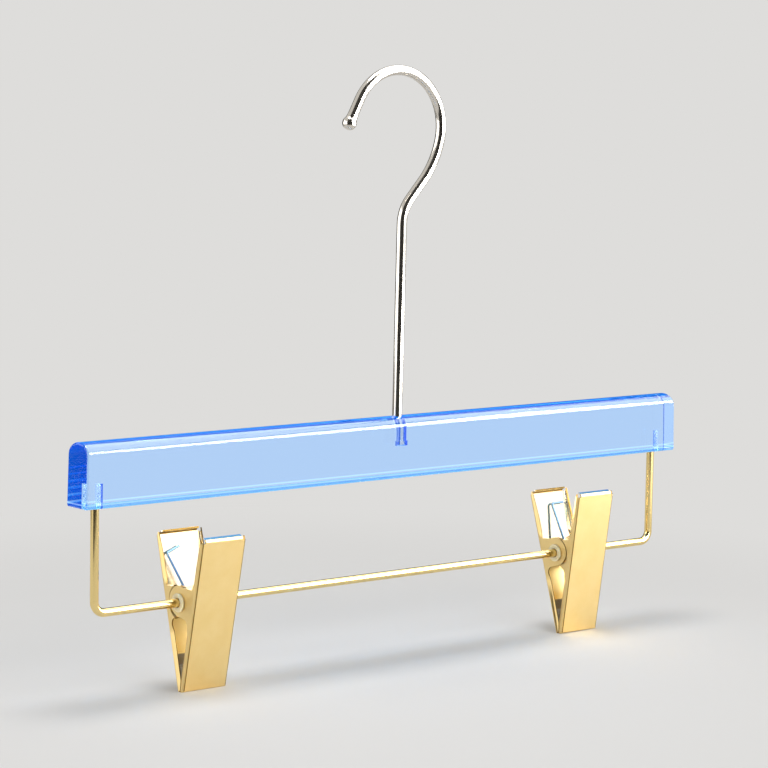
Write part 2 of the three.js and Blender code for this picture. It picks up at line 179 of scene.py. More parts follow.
bar_foot, bar_crown = (corner.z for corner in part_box("hanger_bar"))
acrylic, tree = new_material("cast_blue_acrylic")
place = object_place(tree)
ripple = patches(tree, place, RIPPLE_MM, 1.0)
haze = patches(tree, place, HAZE_MM, 4.0)
height = height_of(tree, place)
# Painted light: an azure stripe on the bottom edge, a pale painted reflection line above it, and a glowing
# skin painted brighter at the top.
painted_band = ramp(tree, height, bar_foot + PAINTED_BAND_FULL_MM * MM, bar_foot + PAINTED_BAND_MM * MM, 1.0, 0.0)
painted_pale_line = worked_out(tree, "COMPARE", height, bar_foot + PAINTED_PALE_LINE_MM * MM, PAINTED_PALE_LINE_HALF_MM * MM)
top_start, top_full = bar_crown - PAINTED_TOP_GLOW_MM * MM, bar_crown - PAINTED_TOP_GLOW_FULL_MM * MM
painted_glow = ramp(tree, height, top_start, top_full, PAINTED_SKIN_GLOW, PAINTED_TOP_GLOW)
looks = {
    "Base Color": blended(tree, painted_band, CLEAR, PAINTED_BAND),
    "Roughness": ramp(tree, haze, HAZE_FROM, HAZE_TO, 0.0, HAZE_ROUGHNESS),
    "IOR": ACRYLIC_IOR,
    "Transmission Weight": 1.0,
    "Normal": dented(tree, ripple, RIPPLE, RIPPLE_DEPTH_MM),
    "Emission Color": blended(tree, painted_pale_line, PAINTED_GLOW, PAINTED_PALE),
    "Emission Strength": worked_out(tree, "MULTIPLY_ADD", painted_pale_line, PAINTED_PALE_GLOW, painted_glow),
}
dye = add_node(tree, "ShaderNodeVolumeAbsorption", {"Color": DYE, "Density": DYE_DENSITY})
coat(tree, looks, Volume=dye.outputs["Volume"])
print("made", acrylic.name)

# %% [markdown]
# ## Plated wire
# The hook is nickel-plated steel wire and the rail is gold-plated. The springs are steel wire painted blue,
# a painted reflection of the blue bar above them. Wire is drawn through a die, which leaves fine lines along
# it, and the plating is bright, so the lines only soften the reflections a little. The lines follow the wire
# through its bends, so the material reads two values that the wire itself carries: how far along, and how
# far around. The real lines are finer than a pixel and are drawn coarser.

# %% Plated wire materials
DRAW_LINES_AROUND = 9.0
DRAW_LINE_LENGTH_MM = 30


def plated_wire(name, colour, smooth, rough):
    material, tree = new_material(name)
    along = add_node(tree, "ShaderNodeAttribute", attribute_name="along").outputs["Fac"]
    around = add_node(tree, "ShaderNodeAttribute", attribute_name="around").outputs["Fac"]
    angle = worked_out(tree, "MULTIPLY", around, 2 * math.pi)
    spot = {
        "X": worked_out(tree, "COSINE", angle),
        "Y": worked_out(tree, "SINE", angle),
        "Z": worked_out(tree, "MULTIPLY", along, 1 / (DRAW_LINE_LENGTH_MM * MM * DRAW_LINES_AROUND)),
    }
    where = add_node(tree, "ShaderNodeCombineXYZ", spot).outputs[0]
    lines = add_node(
        tree, "ShaderNodeTexNoise", {"Vector": where, "Scale": DRAW_LINES_AROUND, "Detail": 3.0}
    )
    gloss = ramp(tree, lines.outputs["Fac"], 0.0, 1.0, smooth, rough)
    coat(tree, {"Base Color": linear(colour), "Metallic": 1.0, "Roughness": gloss})
    return material


nickel = plated_wire("nickel_plated_steel_wire", "#dbd5cb", smooth=0.1, rough=0.2)
gold_wire = plated_wire("gold_plated_steel_wire", "#f2d896", smooth=0.07, rough=0.17)
# The springs' blue is painted: a painted reflection of the blue bar above them.
spring_steel = plated_wire("spring_steel_wire_painted_blue", "#688397", smooth=0.3, rough=0.45)
print("made", nickel.name, gold_wire.name, spring_steel.name)

# %% [markdown]
# ## Gold-plated sheet
# The jaws are stamped from steel sheet. Their outsides were brushed to a satin before plating, and their
# insides were left bright. Satin is not flat: the brush leaves short lines along the jaw, and the plating
# is a little uneven, so colour and roughness both wander slowly. The real brush lines are about 0.05 mm
# apart, too fine for the picture, so they are drawn at 0.5 mm. A line along each side bend and the cut edges
# are painted a dark brown gold, a painted shade for the dark lines that they show. The bright inside is
# painted nearly white, a painted highlight, and a deeper gold below the rail, a painted shade, where it is
# also rougher.

# %% Sheet materials
BRUSH_MM, BRUSH_LENGTH_MM, BRUSH_DEPTH_MM = 0.5, 14, 0.05
PLATING_MM, PLATING_ROUGHNESS = 9, 0.6
SHADE_AND_DULL_FROM_MM = 2
rail_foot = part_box("clip_rail")[0].z


def gold_sheet(name, colour, thin_colour, smooth, rough, brushing, foot_shade_colour=None, foot_dullness=0.0):
    material, tree = new_material(name)
    place = object_place(tree)
    stretch = {"Vector": place, "Scale": (1, 1, BRUSH_MM / BRUSH_LENGTH_MM)}
    brush = patches(tree, add_node(tree, "ShaderNodeMapping", stretch).outputs["Vector"], BRUSH_MM, 3.0)
    plating = patches(tree, place, PLATING_MM, 4.0, PLATING_ROUGHNESS)
    tint = blended(tree, plating, linear(colour), linear(thin_colour))
    gloss = ramp(tree, brush, 0.0, 1.0, smooth, rough)
    # Below the rail the colour turns to painted shade and the roughness rises.
    if foot_shade_colour:
        low, high = rail_foot - SHADE_AND_DULL_FROM_MM * MM, rail_foot + SHADE_AND_DULL_FROM_MM * MM
        shade_and_dull_below_rail = ramp(tree, height_of(tree, place), low, high, 1.0, 0.0)
        tint = blended(tree, shade_and_dull_below_rail, tint, linear(foot_shade_colour))
        gloss = worked_out(tree, "MULTIPLY_ADD", shade_and_dull_below_rail, foot_dullness, gloss)
    relief = dented(tree, brush, brushing, BRUSH_DEPTH_MM)
    coat(tree, {"Base Color": tint, "Metallic": 1.0, "Roughness": gloss, "Normal": relief})
    return material


satin_gold = gold_sheet(
    "satin_gold_plated_sheet", "#f2d89b", "#eaca84", smooth=0.36, rough=0.5, brushing=0.25
)
# Painted shade: the dark brown gold along the side bends and on the cut edges.
bend_gold_painted_shade = gold_sheet(
    "painted_shade_on_bends_and_cut_edges", "#97732f", "#876528", smooth=0.3, rough=0.45, brushing=0.2
)
# The near-white colour is a painted highlight; the deeper gold below the rail is painted shade.
bright_gold_painted_highlight = gold_sheet(
    "bright_gold_with_painted_highlight", "#fff6e2", "#fdf0d2", smooth=0.07, rough=0.12, brushing=0.02,
    foot_shade_colour="#ffe6a2", foot_dullness=0.3,
)
print("made", satin_gold.name, bend_gold_painted_shade.name, bright_gold_painted_highlight.name)

# %% [markdown]
# ## Nylon, vinyl and the spigots' painted white
# The bushes that run on the rail are natural nylon, milky because light scatters inside it. The grip pads
# are soft smoky vinyl with a fine moulded grain. The rail's ends in the bar are painted white, a painted
# pale reflection. All three get light from inside by subsurface scattering, which a plain colour lacks.

# %% Moulded plastics
CLOUD_PER_GRAIN = 4
GRAIN_DEPTH_MM = 0.1
SCATTER_REACH = (1.0, 0.9, 0.75)


def moulded(name, colour, deep_colour, roughness, scatter_mm, scatter, clear, grain_mm, grain):
    material, tree = new_material(name)
    place = object_place(tree)
    cloud = patches(tree, place, CLOUD_PER_GRAIN * grain_mm, 3.0)
    looks = {
        "Base Color": blended(tree, cloud, linear(colour), linear(deep_colour)),
        "Roughness": roughness,
        "Subsurface Weight": scatter,
        "Subsurface Radius": SCATTER_REACH,
        "Subsurface Scale": scatter_mm * MM,
        "Transmission Weight": clear,
        "Normal": dented(tree, patches(tree, place, grain_mm, 2.0), grain, GRAIN_DEPTH_MM),
    }
    coat(tree, looks)
    return material


nylon = moulded(
    "milky_nylon", "#ffe9c0", "#f6dcae",
    roughness=0.32, scatter_mm=1.5, scatter=0.8, clear=0.0, grain_mm=0.6, grain=0.08,
)
vinyl = moulded(
    "smoky_vinyl", "#b8a88c", "#a59478",
    roughness=0.35, scatter_mm=0.8, scatter=0.4, clear=0.2, grain_mm=0.35, grain=0.2,
)
# Painted white on the spigots where they sit in the bar: a painted pale reflection.
spigot_painted_white = moulded(
    "spigot_painted_pale", "#f4f4f6", "#e4e6ee",
    roughness=0.5, scatter_mm=0.5, scatter=0.3, clear=0.0, grain_mm=0.3, grain=0.2,
)
print("made", nylon.name, vinyl.name, spigot_painted_white.name)

# %% [markdown]
# ## Keeping a result as a plain mesh
# Modifiers and Geometry Nodes are worked out by Blender when it needs the shape. The finished piece has to
# be a plain mesh, so the worked-out shape is copied, put in the piece's place, and the modifiers go.

# %% Helpers for pieces
def new_piece(name, mesh):
    piece = bpy.data.objects.new(name, mesh)
    bpy.context.scene.collection.objects.link(piece)
    return piece


def keep_result(piece):
    depsgraph = bpy.context.evaluated_depsgraph_get()
    result = bpy.data.meshes.new_from_object(piece.evaluated_get(depsgraph))
    rough = piece.data
    piece.modifiers.clear()
    piece.data = result
    bpy.data.meshes.remove(rough)
    result.name = piece.name
    return piece


def keep_flat(piece):
    """Turns the shading of flat faces flat again beside rounded edges."""
    piece.modifiers.new("flat faces stay flat", "WEIGHTED_NORMAL").keep_sharp = True
    keep_result(piece)


def fasten(piece, body, slot, *nodes):
    """Rides the piece on a body and lets it stand for the CAD nodes that it was made after."""
    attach(piece, body)
    if nodes:
        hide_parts(*nodes)
    print(piece.name, "on", body, "with", len(piece.data.polygons), "faces")


def new_tree(name, sizes):
    tree = bpy.data.node_groups.new(name, "GeometryNodeTree")
    tree.interface.new_socket("Geometry", in_out="INPUT", socket_type="NodeSocketGeometry")
    for label, kind in sizes.items():
        tree.interface.new_socket(label, in_out="INPUT", socket_type=kind)
    tree.interface.new_socket("Geometry", in_out="OUTPUT", socket_type="NodeSocketGeometry")
    return tree


def grow(piece, tree, values):
    modifier = piece.modifiers.new(tree.name, "NODES")
    modifier.node_group = tree
    for item in tree.interface.items_tree:
        if item.in_out == "INPUT" and item.name in values:
            modifier[item.identifier] = values[item.name]
    return keep_result(piece)


print("helpers ready")

# %% [markdown]
# ## Bending wire
# A wire is straight runs and bends, one after the other. The class below walks along them and notes points,
# and at each point how thick the wire is there: 1 is its plain thickness, and a ball or a ring is a place
# where it swells. A Geometry Nodes tree then sweeps a circle along the points. The alternative, a curve
# object with a bevel, gives the same round wire but can't carry the two values that the material reads.

# %% Wire form
BEND_STEP = 3.0
WIRE_CREASE = 40


class WireForm:
    def __init__(self, start, heading):
        self.points = [Vector(start)]
        self.swells = [1.0]
        self.heading = Vector(heading).normalized()

    def run(self, length, swell=1.0):
        self.points.append(self.points[-1] + self.heading * length)
        self.swells.append(swell)
        return self

    def bend(self, axis, radius, degrees):
        axis = Vector(axis)
        start = self.points[-1]
        centre = start + axis.cross(self.heading) * radius
        count = max(3, math.ceil(degrees / BEND_STEP))
        for step in range(1, count + 1):
            turn = Matrix.Rotation(math.radians(degrees * step / count), 3, axis)
            self.points.append(centre + turn @ (start - centre))
            self.swells.append(1.0)
        self.heading = Matrix.Rotation(math.radians(degrees), 3, axis) @ self.heading
        return self

    def turn_to(self, heading, radius):
        axis = self.heading.cross(heading).normalized()
        return self.bend(axis, radius, math.degrees(self.heading.angle(heading)))


wire_tree = new_tree(
    "drawn wire",
    {"Wire diameter": "NodeSocketFloat", "Sides": "NodeSocketInt", "Finish": "NodeSocketMaterial"},
)
sizes = add_node(wire_tree, "NodeGroupInput")
path = add_node(wire_tree, "GeometryNodeMeshToCurve", {"Mesh": sizes.outputs["Geometry"]})
walked = add_node(wire_tree, "GeometryNodeSplineParameter")
marked_path = add_node(
    wire_tree, "GeometryNodeStoreNamedAttribute",
    {"Geometry": path.outputs["Curve"], "Name": "along", "Value": walked.outputs["Length"]},
    data_type="FLOAT", domain="POINT",
)
ring = add_node(
    wire_tree, "GeometryNodeCurvePrimitiveCircle",
    {
        "Resolution": sizes.outputs["Sides"],
        "Radius": worked_out(wire_tree, "MULTIPLY", sizes.outputs["Wire diameter"], 0.5),
    },
)
marked_ring = add_node(
    wire_tree, "GeometryNodeStoreNamedAttribute",
    {"Geometry": ring.outputs["Curve"], "Name": "around", "Value": walked.outputs["Factor"]},
    data_type="FLOAT", domain="POINT",
)
swell = add_node(wire_tree, "GeometryNodeInputNamedAttribute", {"Name": "swell"}, data_type="FLOAT")
sweep = add_node(
    wire_tree, "GeometryNodeCurveToMesh",
    {
        "Curve": marked_path.outputs["Geometry"],
        "Profile Curve": marked_ring.outputs["Geometry"],
        "Scale": swell.outputs["Attribute"],
        "Fill Caps": True,
    },
)
rounded_wire = add_node(wire_tree, "GeometryNodeSetShadeSmooth", {"Geometry": sweep.outputs["Mesh"]})
real_wire = add_node(
    wire_tree, "GeometryNodeRealizeInstances", {"Geometry": rounded_wire.outputs["Geometry"]}
)
plated = add_node(
    wire_tree, "GeometryNodeSetMaterial",
    {"Geometry": real_wire.outputs["Geometry"], "Material": sizes.outputs["Finish"]},
)
add_node(wire_tree, "NodeGroupOutput", {"Geometry": plated.outputs["Geometry"]})


def make_wire(name, form, diameter, sides, finish, place=Matrix()):
    points = [place @ point * MM for point in form.points]
    mesh = bpy.data.meshes.new(name)
    mesh.from_pydata(points, [(i, i + 1) for i in range(len(points) - 1)], [])
    mesh.attributes.new("swell", "FLOAT", "POINT").data.foreach_set("value", form.swells)
    values = {"Wire diameter": diameter * MM, "Sides": sides, "Finish": finish}
    wire = grow(new_piece(name, mesh), wire_tree, values)
    wire.data.set_sharp_from_angle(angle=math.radians(WIRE_CREASE))
    return wire


print("wire tree with", len(wire_tree.nodes), "nodes")

# %% [markdown]
# ## The hook
# One length of 4 mm nickel wire: a small head that turns in the bar, a straight shaft, a crank that brings
# the loop over the bar's middle, the loop, and a tip that was upset to a ball with a slightly flat end.
# The head and the ball are places where the wire swells. The hook leans half a degree in its loose bore.

# %% Hook
HOOK_WIRE = 4.0
SHAFT_RUN = 86.5
NECK_RADIUS, NECK_LEAN, NECK_RUN = 15.0, 41.7, 9.7
SHOULDER_RADIUS, SHOULDER_TURN = 35.0, 30.0
LOOP_RADIUS, TIP_TURN, TIP_RUN = 22.1, 62.6, 10.0
HOOK_LEAN = 0.5
HEAD_DIAMETER, HEAD_HEIGHT = 5.5, 1.3
BALL_DIAMETER, BALL_FLAT = 5.6, 0.4
NECK_START, NECK_BOW, NECK_SLACK, NECK_STEPS = 2.2, 1.1, 0.02, 8
BALL_START, BALL_STEPS, FLAT_EDGE = 0.6, 14, 0.12
FLAT_ROUNDING = ((0.12, 0.9), (0.06, 0.75), (0.02, 0.5), (0.01, 0.02))
EDGE = 0.06
WIRE_SIDES = 32

X, Y, Z = Vector((1, 0, 0)), Vector((0, 1, 0)), Vector((0, 0, 1))
wire_radius, ball = HOOK_WIRE / 2, BALL_DIAMETER / 2
head = HEAD_DIAMETER / HOOK_WIRE

form = WireForm((0, 0, 0), Z)
form.swells = [head - EDGE]
form.run(EDGE, head).run(HEAD_HEIGHT - 2 * EDGE, head).run(EDGE, head - EDGE).run(EDGE, 1.0)
form.run(SHAFT_RUN - HEAD_HEIGHT - EDGE).bend(Y, NECK_RADIUS, NECK_LEAN).run(NECK_RUN)
form.bend(-Y, SHOULDER_RADIUS, SHOULDER_TURN)
loop_centre = form.points[-1] + (-Y).cross(form.heading) * LOOP_RADIUS
form.bend(-Y, LOOP_RADIUS, NECK_LEAN - SHOULDER_TURN + 90 + TIP_TURN)

neck_foot = Vector((wire_radius, -NECK_START * ball))
neck_bow = Vector((wire_radius + NECK_SLACK, -NECK_BOW * ball))
neck_end = Vector((ball * math.cos(BALL_START), -ball * math.sin(BALL_START)))
form.run(TIP_RUN + neck_foot.y)
walked_mm = neck_foot.y
for step in range(1, NECK_STEPS + 1):
    t = step / NECK_STEPS
    spot = (1 - t) ** 2 * neck_foot + 2 * t * (1 - t) * neck_bow + t * t * neck_end
    form.run(spot.y - walked_mm, spot.x / wire_radius)
    walked_mm = spot.y
flat_start = math.asin(1 - BALL_FLAT / ball) - FLAT_EDGE
for step in range(1, BALL_STEPS + 1):
    angle = -BALL_START + (flat_start + BALL_START) * step / BALL_STEPS
    form.run(ball * math.sin(angle) - walked_mm, ball * math.cos(angle) / wire_radius)
    walked_mm = ball * math.sin(angle)
for rise, share in FLAT_ROUNDING:
    form.run(rise, share * math.cos(flat_start) * ball / wire_radius)

lean = Matrix.Rotation(math.radians(HOOK_LEAN), 4, "Y")
loop_centre = lean @ loop_centre
loop_inside = LOOP_RADIUS - wire_radius
hook_foot = -math.sqrt(loop_inside**2 - loop_centre.x**2) - loop_centre.z
hook_place = Matrix.Translation((0, 0, hook_foot)) @ lean
hook = make_wire("hook_wire", form, HOOK_WIRE, WIRE_SIDES, nickel, hook_place)
fasten(hook, "hook", "nickel_wire", "hook")

# %% [markdown]
# ## The bar
# The bar has an arch section: flat sides and bottom and a domed top. It is drawn as a section and pushed
# along X. A Bevel modifier rounds the end faces and the long bottom edges by 0.8 mm, and a weight on those
# edges tells it which. The dome leaves the sides at a very slight crease, which gathers the reflection of
# the lamp into one white line. Boolean modifiers then drill the bores. They have to be real holes with air
# in them, because the dark bands round the hook and the pale ones round the rail's ends come from light
# that bounces off the bores' walls.

# %% Bar
BAR_LENGTH, BAR_HEIGHT, BAR_THICKNESS = 300.0, 24.0, 13.0
DOME_HEIGHT, DOME_STEPS, DOME_START = 4.8, 48, 3
ROUNDING, ROUNDING_STEPS = 0.8, 5
HOOK_BORE, HOOK_BORE_DEPTH = 4.9, 11.5
CHAMBER, CHAMBER_HEIGHT = 6.1, 1.9
LEG_BORE, LEG_BORE_DEPTH = 3.2, 8.8
LEG_X = 142.0
END_SLANT = 0.7
BORE_SIDES, DRILL_PAST = 64, 1.0
BORE_CREASE = 30
SAME_LEVEL = 0.1

bar_low, bar_high = (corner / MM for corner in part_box("hanger_bar"))
bar_bottom, bar_top = bar_low.z, bar_high.z
dome_foot = bar_top - DOME_HEIGHT
half = BAR_THICKNESS / 2
section = [(-half, bar_bottom), (half, bar_bottom)]
for step in (0, *range(DOME_START, DOME_STEPS + 1 - DOME_START), DOME_STEPS):
    angle = math.pi * step / DOME_STEPS
    section.append((half * math.cos(angle), dome_foot + DOME_HEIGHT * math.sin(angle)))


def bar_end(z):
    """The half length at a height: the ends are cut a little aslant, longer at the bottom."""
    return BAR_LENGTH / 2 - END_SLANT * (z - bar_bottom) / BAR_HEIGHT


form = bmesh.new()
near = [form.verts.new(Vector((-bar_end(z), y, z)) * MM) for y, z in section]
far = [form.verts.new(Vector((bar_end(z), y, z)) * MM) for y, z in section]
form.faces.new(near)
form.faces.new(far[::-1])
for i, corner in enumerate(near):
    following = (i + 1) % len(near)
    form.faces.new((corner, far[i], far[following], near[following]))
bmesh.ops.recalc_face_normals(form, faces=form.faces[:])
weights = form.edges.layers.float.new("bevel_weight_edge")
for edge in form.edges:
    a, b = (v.co / MM for v in edge.verts)
    if a.x * b.x > 0 or max(a.z, b.z) < bar_bottom + SAME_LEVEL:
        edge[weights] = 1.0
mesh = bpy.data.meshes.new("acrylic_bar")
form.to_mesh(mesh)
form.free()
mesh.materials.append(acrylic)
bar = new_piece("acrylic_bar", mesh)
rounding = bar.modifiers.new("rounded edges", "BEVEL")
rounding.limit_method = "WEIGHT"
rounding.width = ROUNDING * MM
rounding.segments = ROUNDING_STEPS
keep_result(bar)
print("bar blank with", len(bar.data.polygons), "faces")


# %% Bores
def drill(diameter, low, high, x):
    form = bmesh.new()
    bmesh.ops.create_cone(
        form, cap_ends=True, segments=BORE_SIDES, radius1=diameter / 2 * MM, radius2=diameter / 2 * MM,
        depth=(high - low) * MM, matrix=Matrix.Translation(Vector((x, 0, (low + high) / 2)) * MM),
    )
    mesh = bpy.data.meshes.new("drill")
    form.to_mesh(mesh)
    form.free()
    return new_piece("drill", mesh)


bore_foot = bar_top - HOOK_BORE_DEPTH
drills = [
    drill(HOOK_BORE, bore_foot + CHAMBER_HEIGHT / 2, bar_top + DRILL_PAST, 0),
    drill(CHAMBER, bore_foot, bore_foot + CHAMBER_HEIGHT, 0),
    drill(LEG_BORE, bar_bottom - DRILL_PAST, bar_bottom + LEG_BORE_DEPTH, -LEG_X),
    drill(LEG_BORE, bar_bottom - DRILL_PAST, bar_bottom + LEG_BORE_DEPTH, LEG_X),
]
for cutter in drills:
    cut = bar.modifiers.new("bore", "BOOLEAN")
    cut.object = cutter
    cut.solver = "EXACT"
keep_result(bar)
for cutter in drills:
    bpy.data.objects.remove(cutter)
bar.data.shade_smooth()
bar.data.set_sharp_from_angle(angle=math.radians(BORE_CREASE))
for edge in bar.data.edges:
    a, b = (bar.data.vertices[i].co / MM for i in edge.vertices)
    if max(abs(a.z - dome_foot), abs(b.z - dome_foot)) < SAME_LEVEL:
        edge.use_edge_sharp = True
keep_flat(bar)
fasten(bar, "bar", "acrylic", "hanger_bar")

# %% [markdown]
# ## The rail
# One gold wire bent to a U. Its ends are thinned to spigots with rings that bite into the acrylic, and the
# full wire's shoulders sit against the bar's underside. The rings repeat at an even pitch, so a short loop
# gives the swelling at each, and the same wire tree sweeps the rest. The spigots are painted white where
# they sit in the bar, a painted pale reflection: through the blue bar they look pale, where gold would look
# green.

# %% Rail
RAIL_WIRE = 3.2
RAIL_DROP = 39.5
RAIL_BEND = 4.4
SPIGOT, SPIGOT_LENGTH = 2.5, 8.6
RING_HEIGHT, RING_PITCH = 0.15, 1.2
RING_START, RING_RISE, RING_FALL, RING_END = 0.5, 0.25, 0.6, 0.7
TIP_STEPS = ((0.5, 1.0), (0.1, 0.7), (0.0, 0.5))
SHOULDER_GAP, SHOULDER_EDGE = 0.1, 0.01

root = SPIGOT / RAIL_WIRE
crest = (SPIGOT + 2 * RING_HEIGHT) / RAIL_WIRE
spigot_profile = [(0.0, 1.0 - EDGE), (SHOULDER_EDGE, root)]
ring_count = math.floor((SPIGOT_LENGTH - RING_PITCH) / RING_PITCH)
for ring_number in range(ring_count):
    low = (ring_number + RING_START) * RING_PITCH
    spigot_profile += [(low, root), (low + RING_RISE * RING_PITCH, crest)]
    spigot_profile += [(low + RING_FALL * RING_PITCH, crest), (low + RING_END * RING_PITCH, root)]
spigot_profile += [(SPIGOT_LENGTH - below, share * root) for below, share in TIP_STEPS]

shoulder = bar_bottom - SHOULDER_GAP
rail_z = shoulder + SHOULDER_GAP - RAIL_DROP
drop = shoulder - rail_z - RAIL_BEND
form = WireForm((-LEG_X, 0, shoulder + SPIGOT_LENGTH), -Z)
form.swells = [spigot_profile[-1][1]]
for (above, _), (height, swelling) in zip(spigot_profile[:0:-1], spigot_profile[-2::-1]):
    form.run(above - height, swelling)
form.run(EDGE, 1.0).run(drop - EDGE).bend(-Y, RAIL_BEND, 90).run(2 * (LEG_X - RAIL_BEND))
form.bend(-Y, RAIL_BEND, 90).run(drop - EDGE).run(EDGE, 1.0 - EDGE)
for (below, _), (height, swelling) in zip(spigot_profile, spigot_profile[1:]):
    form.run(height - below, swelling)
rail = make_wire("rail_wire", form, RAIL_WIRE, WIRE_SIDES, gold_wire)
# The spigots' painted white, a painted pale reflection, goes on the part above the shoulders.
rail.data.materials.append(spigot_painted_white)
for face in rail.data.polygons:
    face.material_index = int(face.center.z > shoulder * MM)
fasten(rail, "bar", "gold_wire", "clip_rail")

# %% [markdown]
# ## Where the clips hang
# Both clips are the same, but the right one was threaded on the other way round. Each is drawn once with
# its pivot at the origin and its plate upright, then leaned until its pads meet, turned to its side, swung a
# little on the rail and moved along it.

# %% Clip places
JAW_WIDTH, JAW_LENGTH = 20.4, 60.5
TIP_TO_PIVOT, PIVOT_DEPTH = 32.9, 9.3
CAD_SHEET, SHEET = 0.8, 0.5
PAD_TIP, PAD_GAP, PAD_GLUE = 0.7, 0.3, 0.1
SWINGS = {"left": -1.5, "right": -4.8}
TURNED = {"left": 0.0, "right": 180.0}

tip_half = CAD_SHEET + PAD_GLUE + PAD_TIP + PAD_GAP / 2
tip_reach = math.hypot(PIVOT_DEPTH, TIP_TO_PIVOT)
closed_lean = math.acos(tip_half / tip_reach) - math.atan2(TIP_TO_PIVOT, PIVOT_DEPTH)
pivots = {j["child"]: Vector(j["pos_m"]) / MM for j in frame["joints"] if j["name"].endswith("clip_swing")}


def clip_place(side):
    pivot = pivots[f"{side}_outer_jaw"]
    swing = Matrix.Rotation(math.radians(SWINGS[side]), 4, "X")
    return Matrix.Translation(pivot) @ swing @ Matrix.Rotation(math.radians(TURNED[side]), 4, "Z")


def jaw_place(side, kind):
    facing = Matrix.Rotation(math.pi if kind == "inner" else 0.0, 4, "Z")
    return clip_place(side) @ facing @ Matrix.Rotation(closed_lean, 4, "X")


def closing_plane(z):
    return z * math.tan(closed_lean) - PAD_GAP / 2 / math.cos(closed_lean)


print("closed jaws lean", round(math.degrees(closed_lean), 2), "degrees; pivots", pivots)

# %% [markdown]
# ## The jaws
# A jaw is sheet metal, so it is made as a sheet: its outer skin is laid out panel by panel, with arcs where
# the sheet is bent, Solidify gives it 0.5 mm of metal on the inside, and Bevel breaks its cut edges. The
# skin keeps the open notches at the corners of the top lip, which is turned in by 77 degrees. The side
# flanges toe in a little and get narrower towards the lip. The inner jaw's ears are pressed inwards along a
# circle, so that they lie inside those of the outer jaw and can turn there. Solidify also puts the third
# material on the inside and the second on the cut edges, which is how the bright inner faces with their
# painted highlight and the brown rims with their painted shade part from the satin outside.

# %% Jaw skin
FLANGE = 2.6
BEND_RADIUS, BEND_FACETS = 1.1, 8
BEND_LINE = (1, 2)  # the facets of a side bend that carry the painted shade line
# The second material is painted shade on bends and cut edges; the third is a painted highlight on the
# insides.
SATIN, BEND, BRIGHT = range(3)
TOE_IN, TOE_RUN = 0.6, 3.0
EAR_CLEARANCE, EAR_SHOULDER, WINDOW_FILLET = 0.3, 1.0, 2.4
EAR_HOLE, EAR_LOW = 5.6, 5.3
EAR_END = 102  # degrees that the ear's round goes on to, so that opened ears pass each other
LIP_GAP, NOTCH, NOTCH_SLANT, FLANGE_SHORT = 0.7, 0.25, 0.3, 0.2
LIP_TURN, LIP_DEPTH = math.radians(77), 2.2
FLANGE_TAPER, TAPER_RUN = 0.8, 11.0
EAR_STEP, STEP_RUN, STEP_CUTS, TOE_CUTS = 1.1, 0.45, 4, 6
PRESSED = range(96, 241, 8)  # degrees round the pivot at which the ear's press line is cut
FILLET_STEPS, QUARTER_STEPS, END_STEPS, HOLE_SIDES = 10, 14, 16, 40
CUT_EDGE, EDGE_STEPS, EDGE_ANGLE, SHEET_CREASE = 0.13, 2, 40, 50
SAME_SPOT, ON_THE_CUT, SAME_PLANE = 1e-3, 1e-5, math.radians(0.5)
LIP_RIM, LIP_UNDERSIDE = 0.5, -0.2  # how far a face of the lip looks inwards, or down

jaw_half = JAW_WIDTH / 2
jaw_top, jaw_foot = JAW_LENGTH - TIP_TO_PIVOT, -TIP_TO_PIVOT
plate_y = -PIVOT_DEPTH
flange_edge = plate_y + FLANGE
bend_end = plate_y + BEND_RADIUS
flat_half = jaw_half - BEND_RADIUS
lip_half = flat_half - LIP_GAP
ear_radius = PIVOT_DEPTH - FLANGE - EAR_CLEARANCE
ear_zone = (-EAR_LOW - WINDOW_FILLET, ear_radius + EAR_SHOULDER)
press_edge = ear_radius + STEP_RUN
run_out = (flange_edge + PAD_GAP / 2 / math.cos(closed_lean)) / math.tan(closed_lean)
bend_turns = [math.pi / 2 * k / BEND_FACETS for k in range(BEND_FACETS + 1)]
bend_out = [BEND_RADIUS * math.sin(a) for a in bend_turns]
bend_in = [plate_y + BEND_RADIUS * (1 - math.cos(a)) for a in bend_turns]
lip_turns = [LIP_TURN * k / BEND_FACETS for k in range(BEND_FACETS + 1)]
lip_up = [BEND_RADIUS * math.sin(a) for a in lip_turns]
lip_in = [plate_y + BEND_RADIUS * (1 - math.cos(a)) for a in lip_turns]
lip_edge = plate_y + LIP_DEPTH
lip_rise = (lip_edge - lip_in[-1]) / math.tan(LIP_TURN)


def arc(centre, radius, start, stop, count):
    steps = [math.radians(start + (stop - start) * k / count) for k in range(count + 1)]
    return [(centre[0] + radius * math.cos(a), centre[1] + radius * math.sin(a)) for a in steps]


def ear_outline():
    """A side flange with its ear, seen from the side: (y, z) corners from the tip upwards."""
    fillet = (flange_edge + WINDOW_FILLET, ear_zone[0])
    outline = [(bend_end, jaw_foot), (closing_plane(jaw_foot), jaw_foot), (flange_edge, run_out)]
    outline += arc(fillet, WINDOW_FILLET, 180, 90, FILLET_STEPS)
    outline += [(y, z * EAR_LOW / ear_radius) for y, z in arc((0, 0), ear_radius, -90, 0, QUARTER_STEPS)]
    outline += arc((0, 0), ear_radius, 0, EAR_END, END_STEPS)[1:]
    outline += [(flange_edge, ear_radius + EAR_SHOULDER), (flange_edge, jaw_top - TAPER_RUN)]
    outline += [(flange_edge - FLANGE_TAPER, jaw_top - FLANGE_SHORT)]
    outline += [(bend_end + NOTCH_SLANT, jaw_top - FLANGE_SHORT), (bend_end, jaw_top - BEND_RADIUS - NOTCH)]
    return outline


def ease(share):
    share = min(max(share, 0), 1)
    return share * share * (3 - 2 * share)


def pressed_in(y, z, stepped):
    """How far a flange leans in at a place on it: it toes in, but its ear is square, or stepped in."""
    step = EAR_STEP * ease((press_edge - math.hypot(y, z)) / STEP_RUN) if stepped else 0
    across = min((y - bend_end) / (flange_edge - bend_end), 1)
    beyond = max(ear_zone[0] - z, z - ear_zone[1], 0)
    return step + TOE_IN * across * ease(beyond / TOE_RUN)


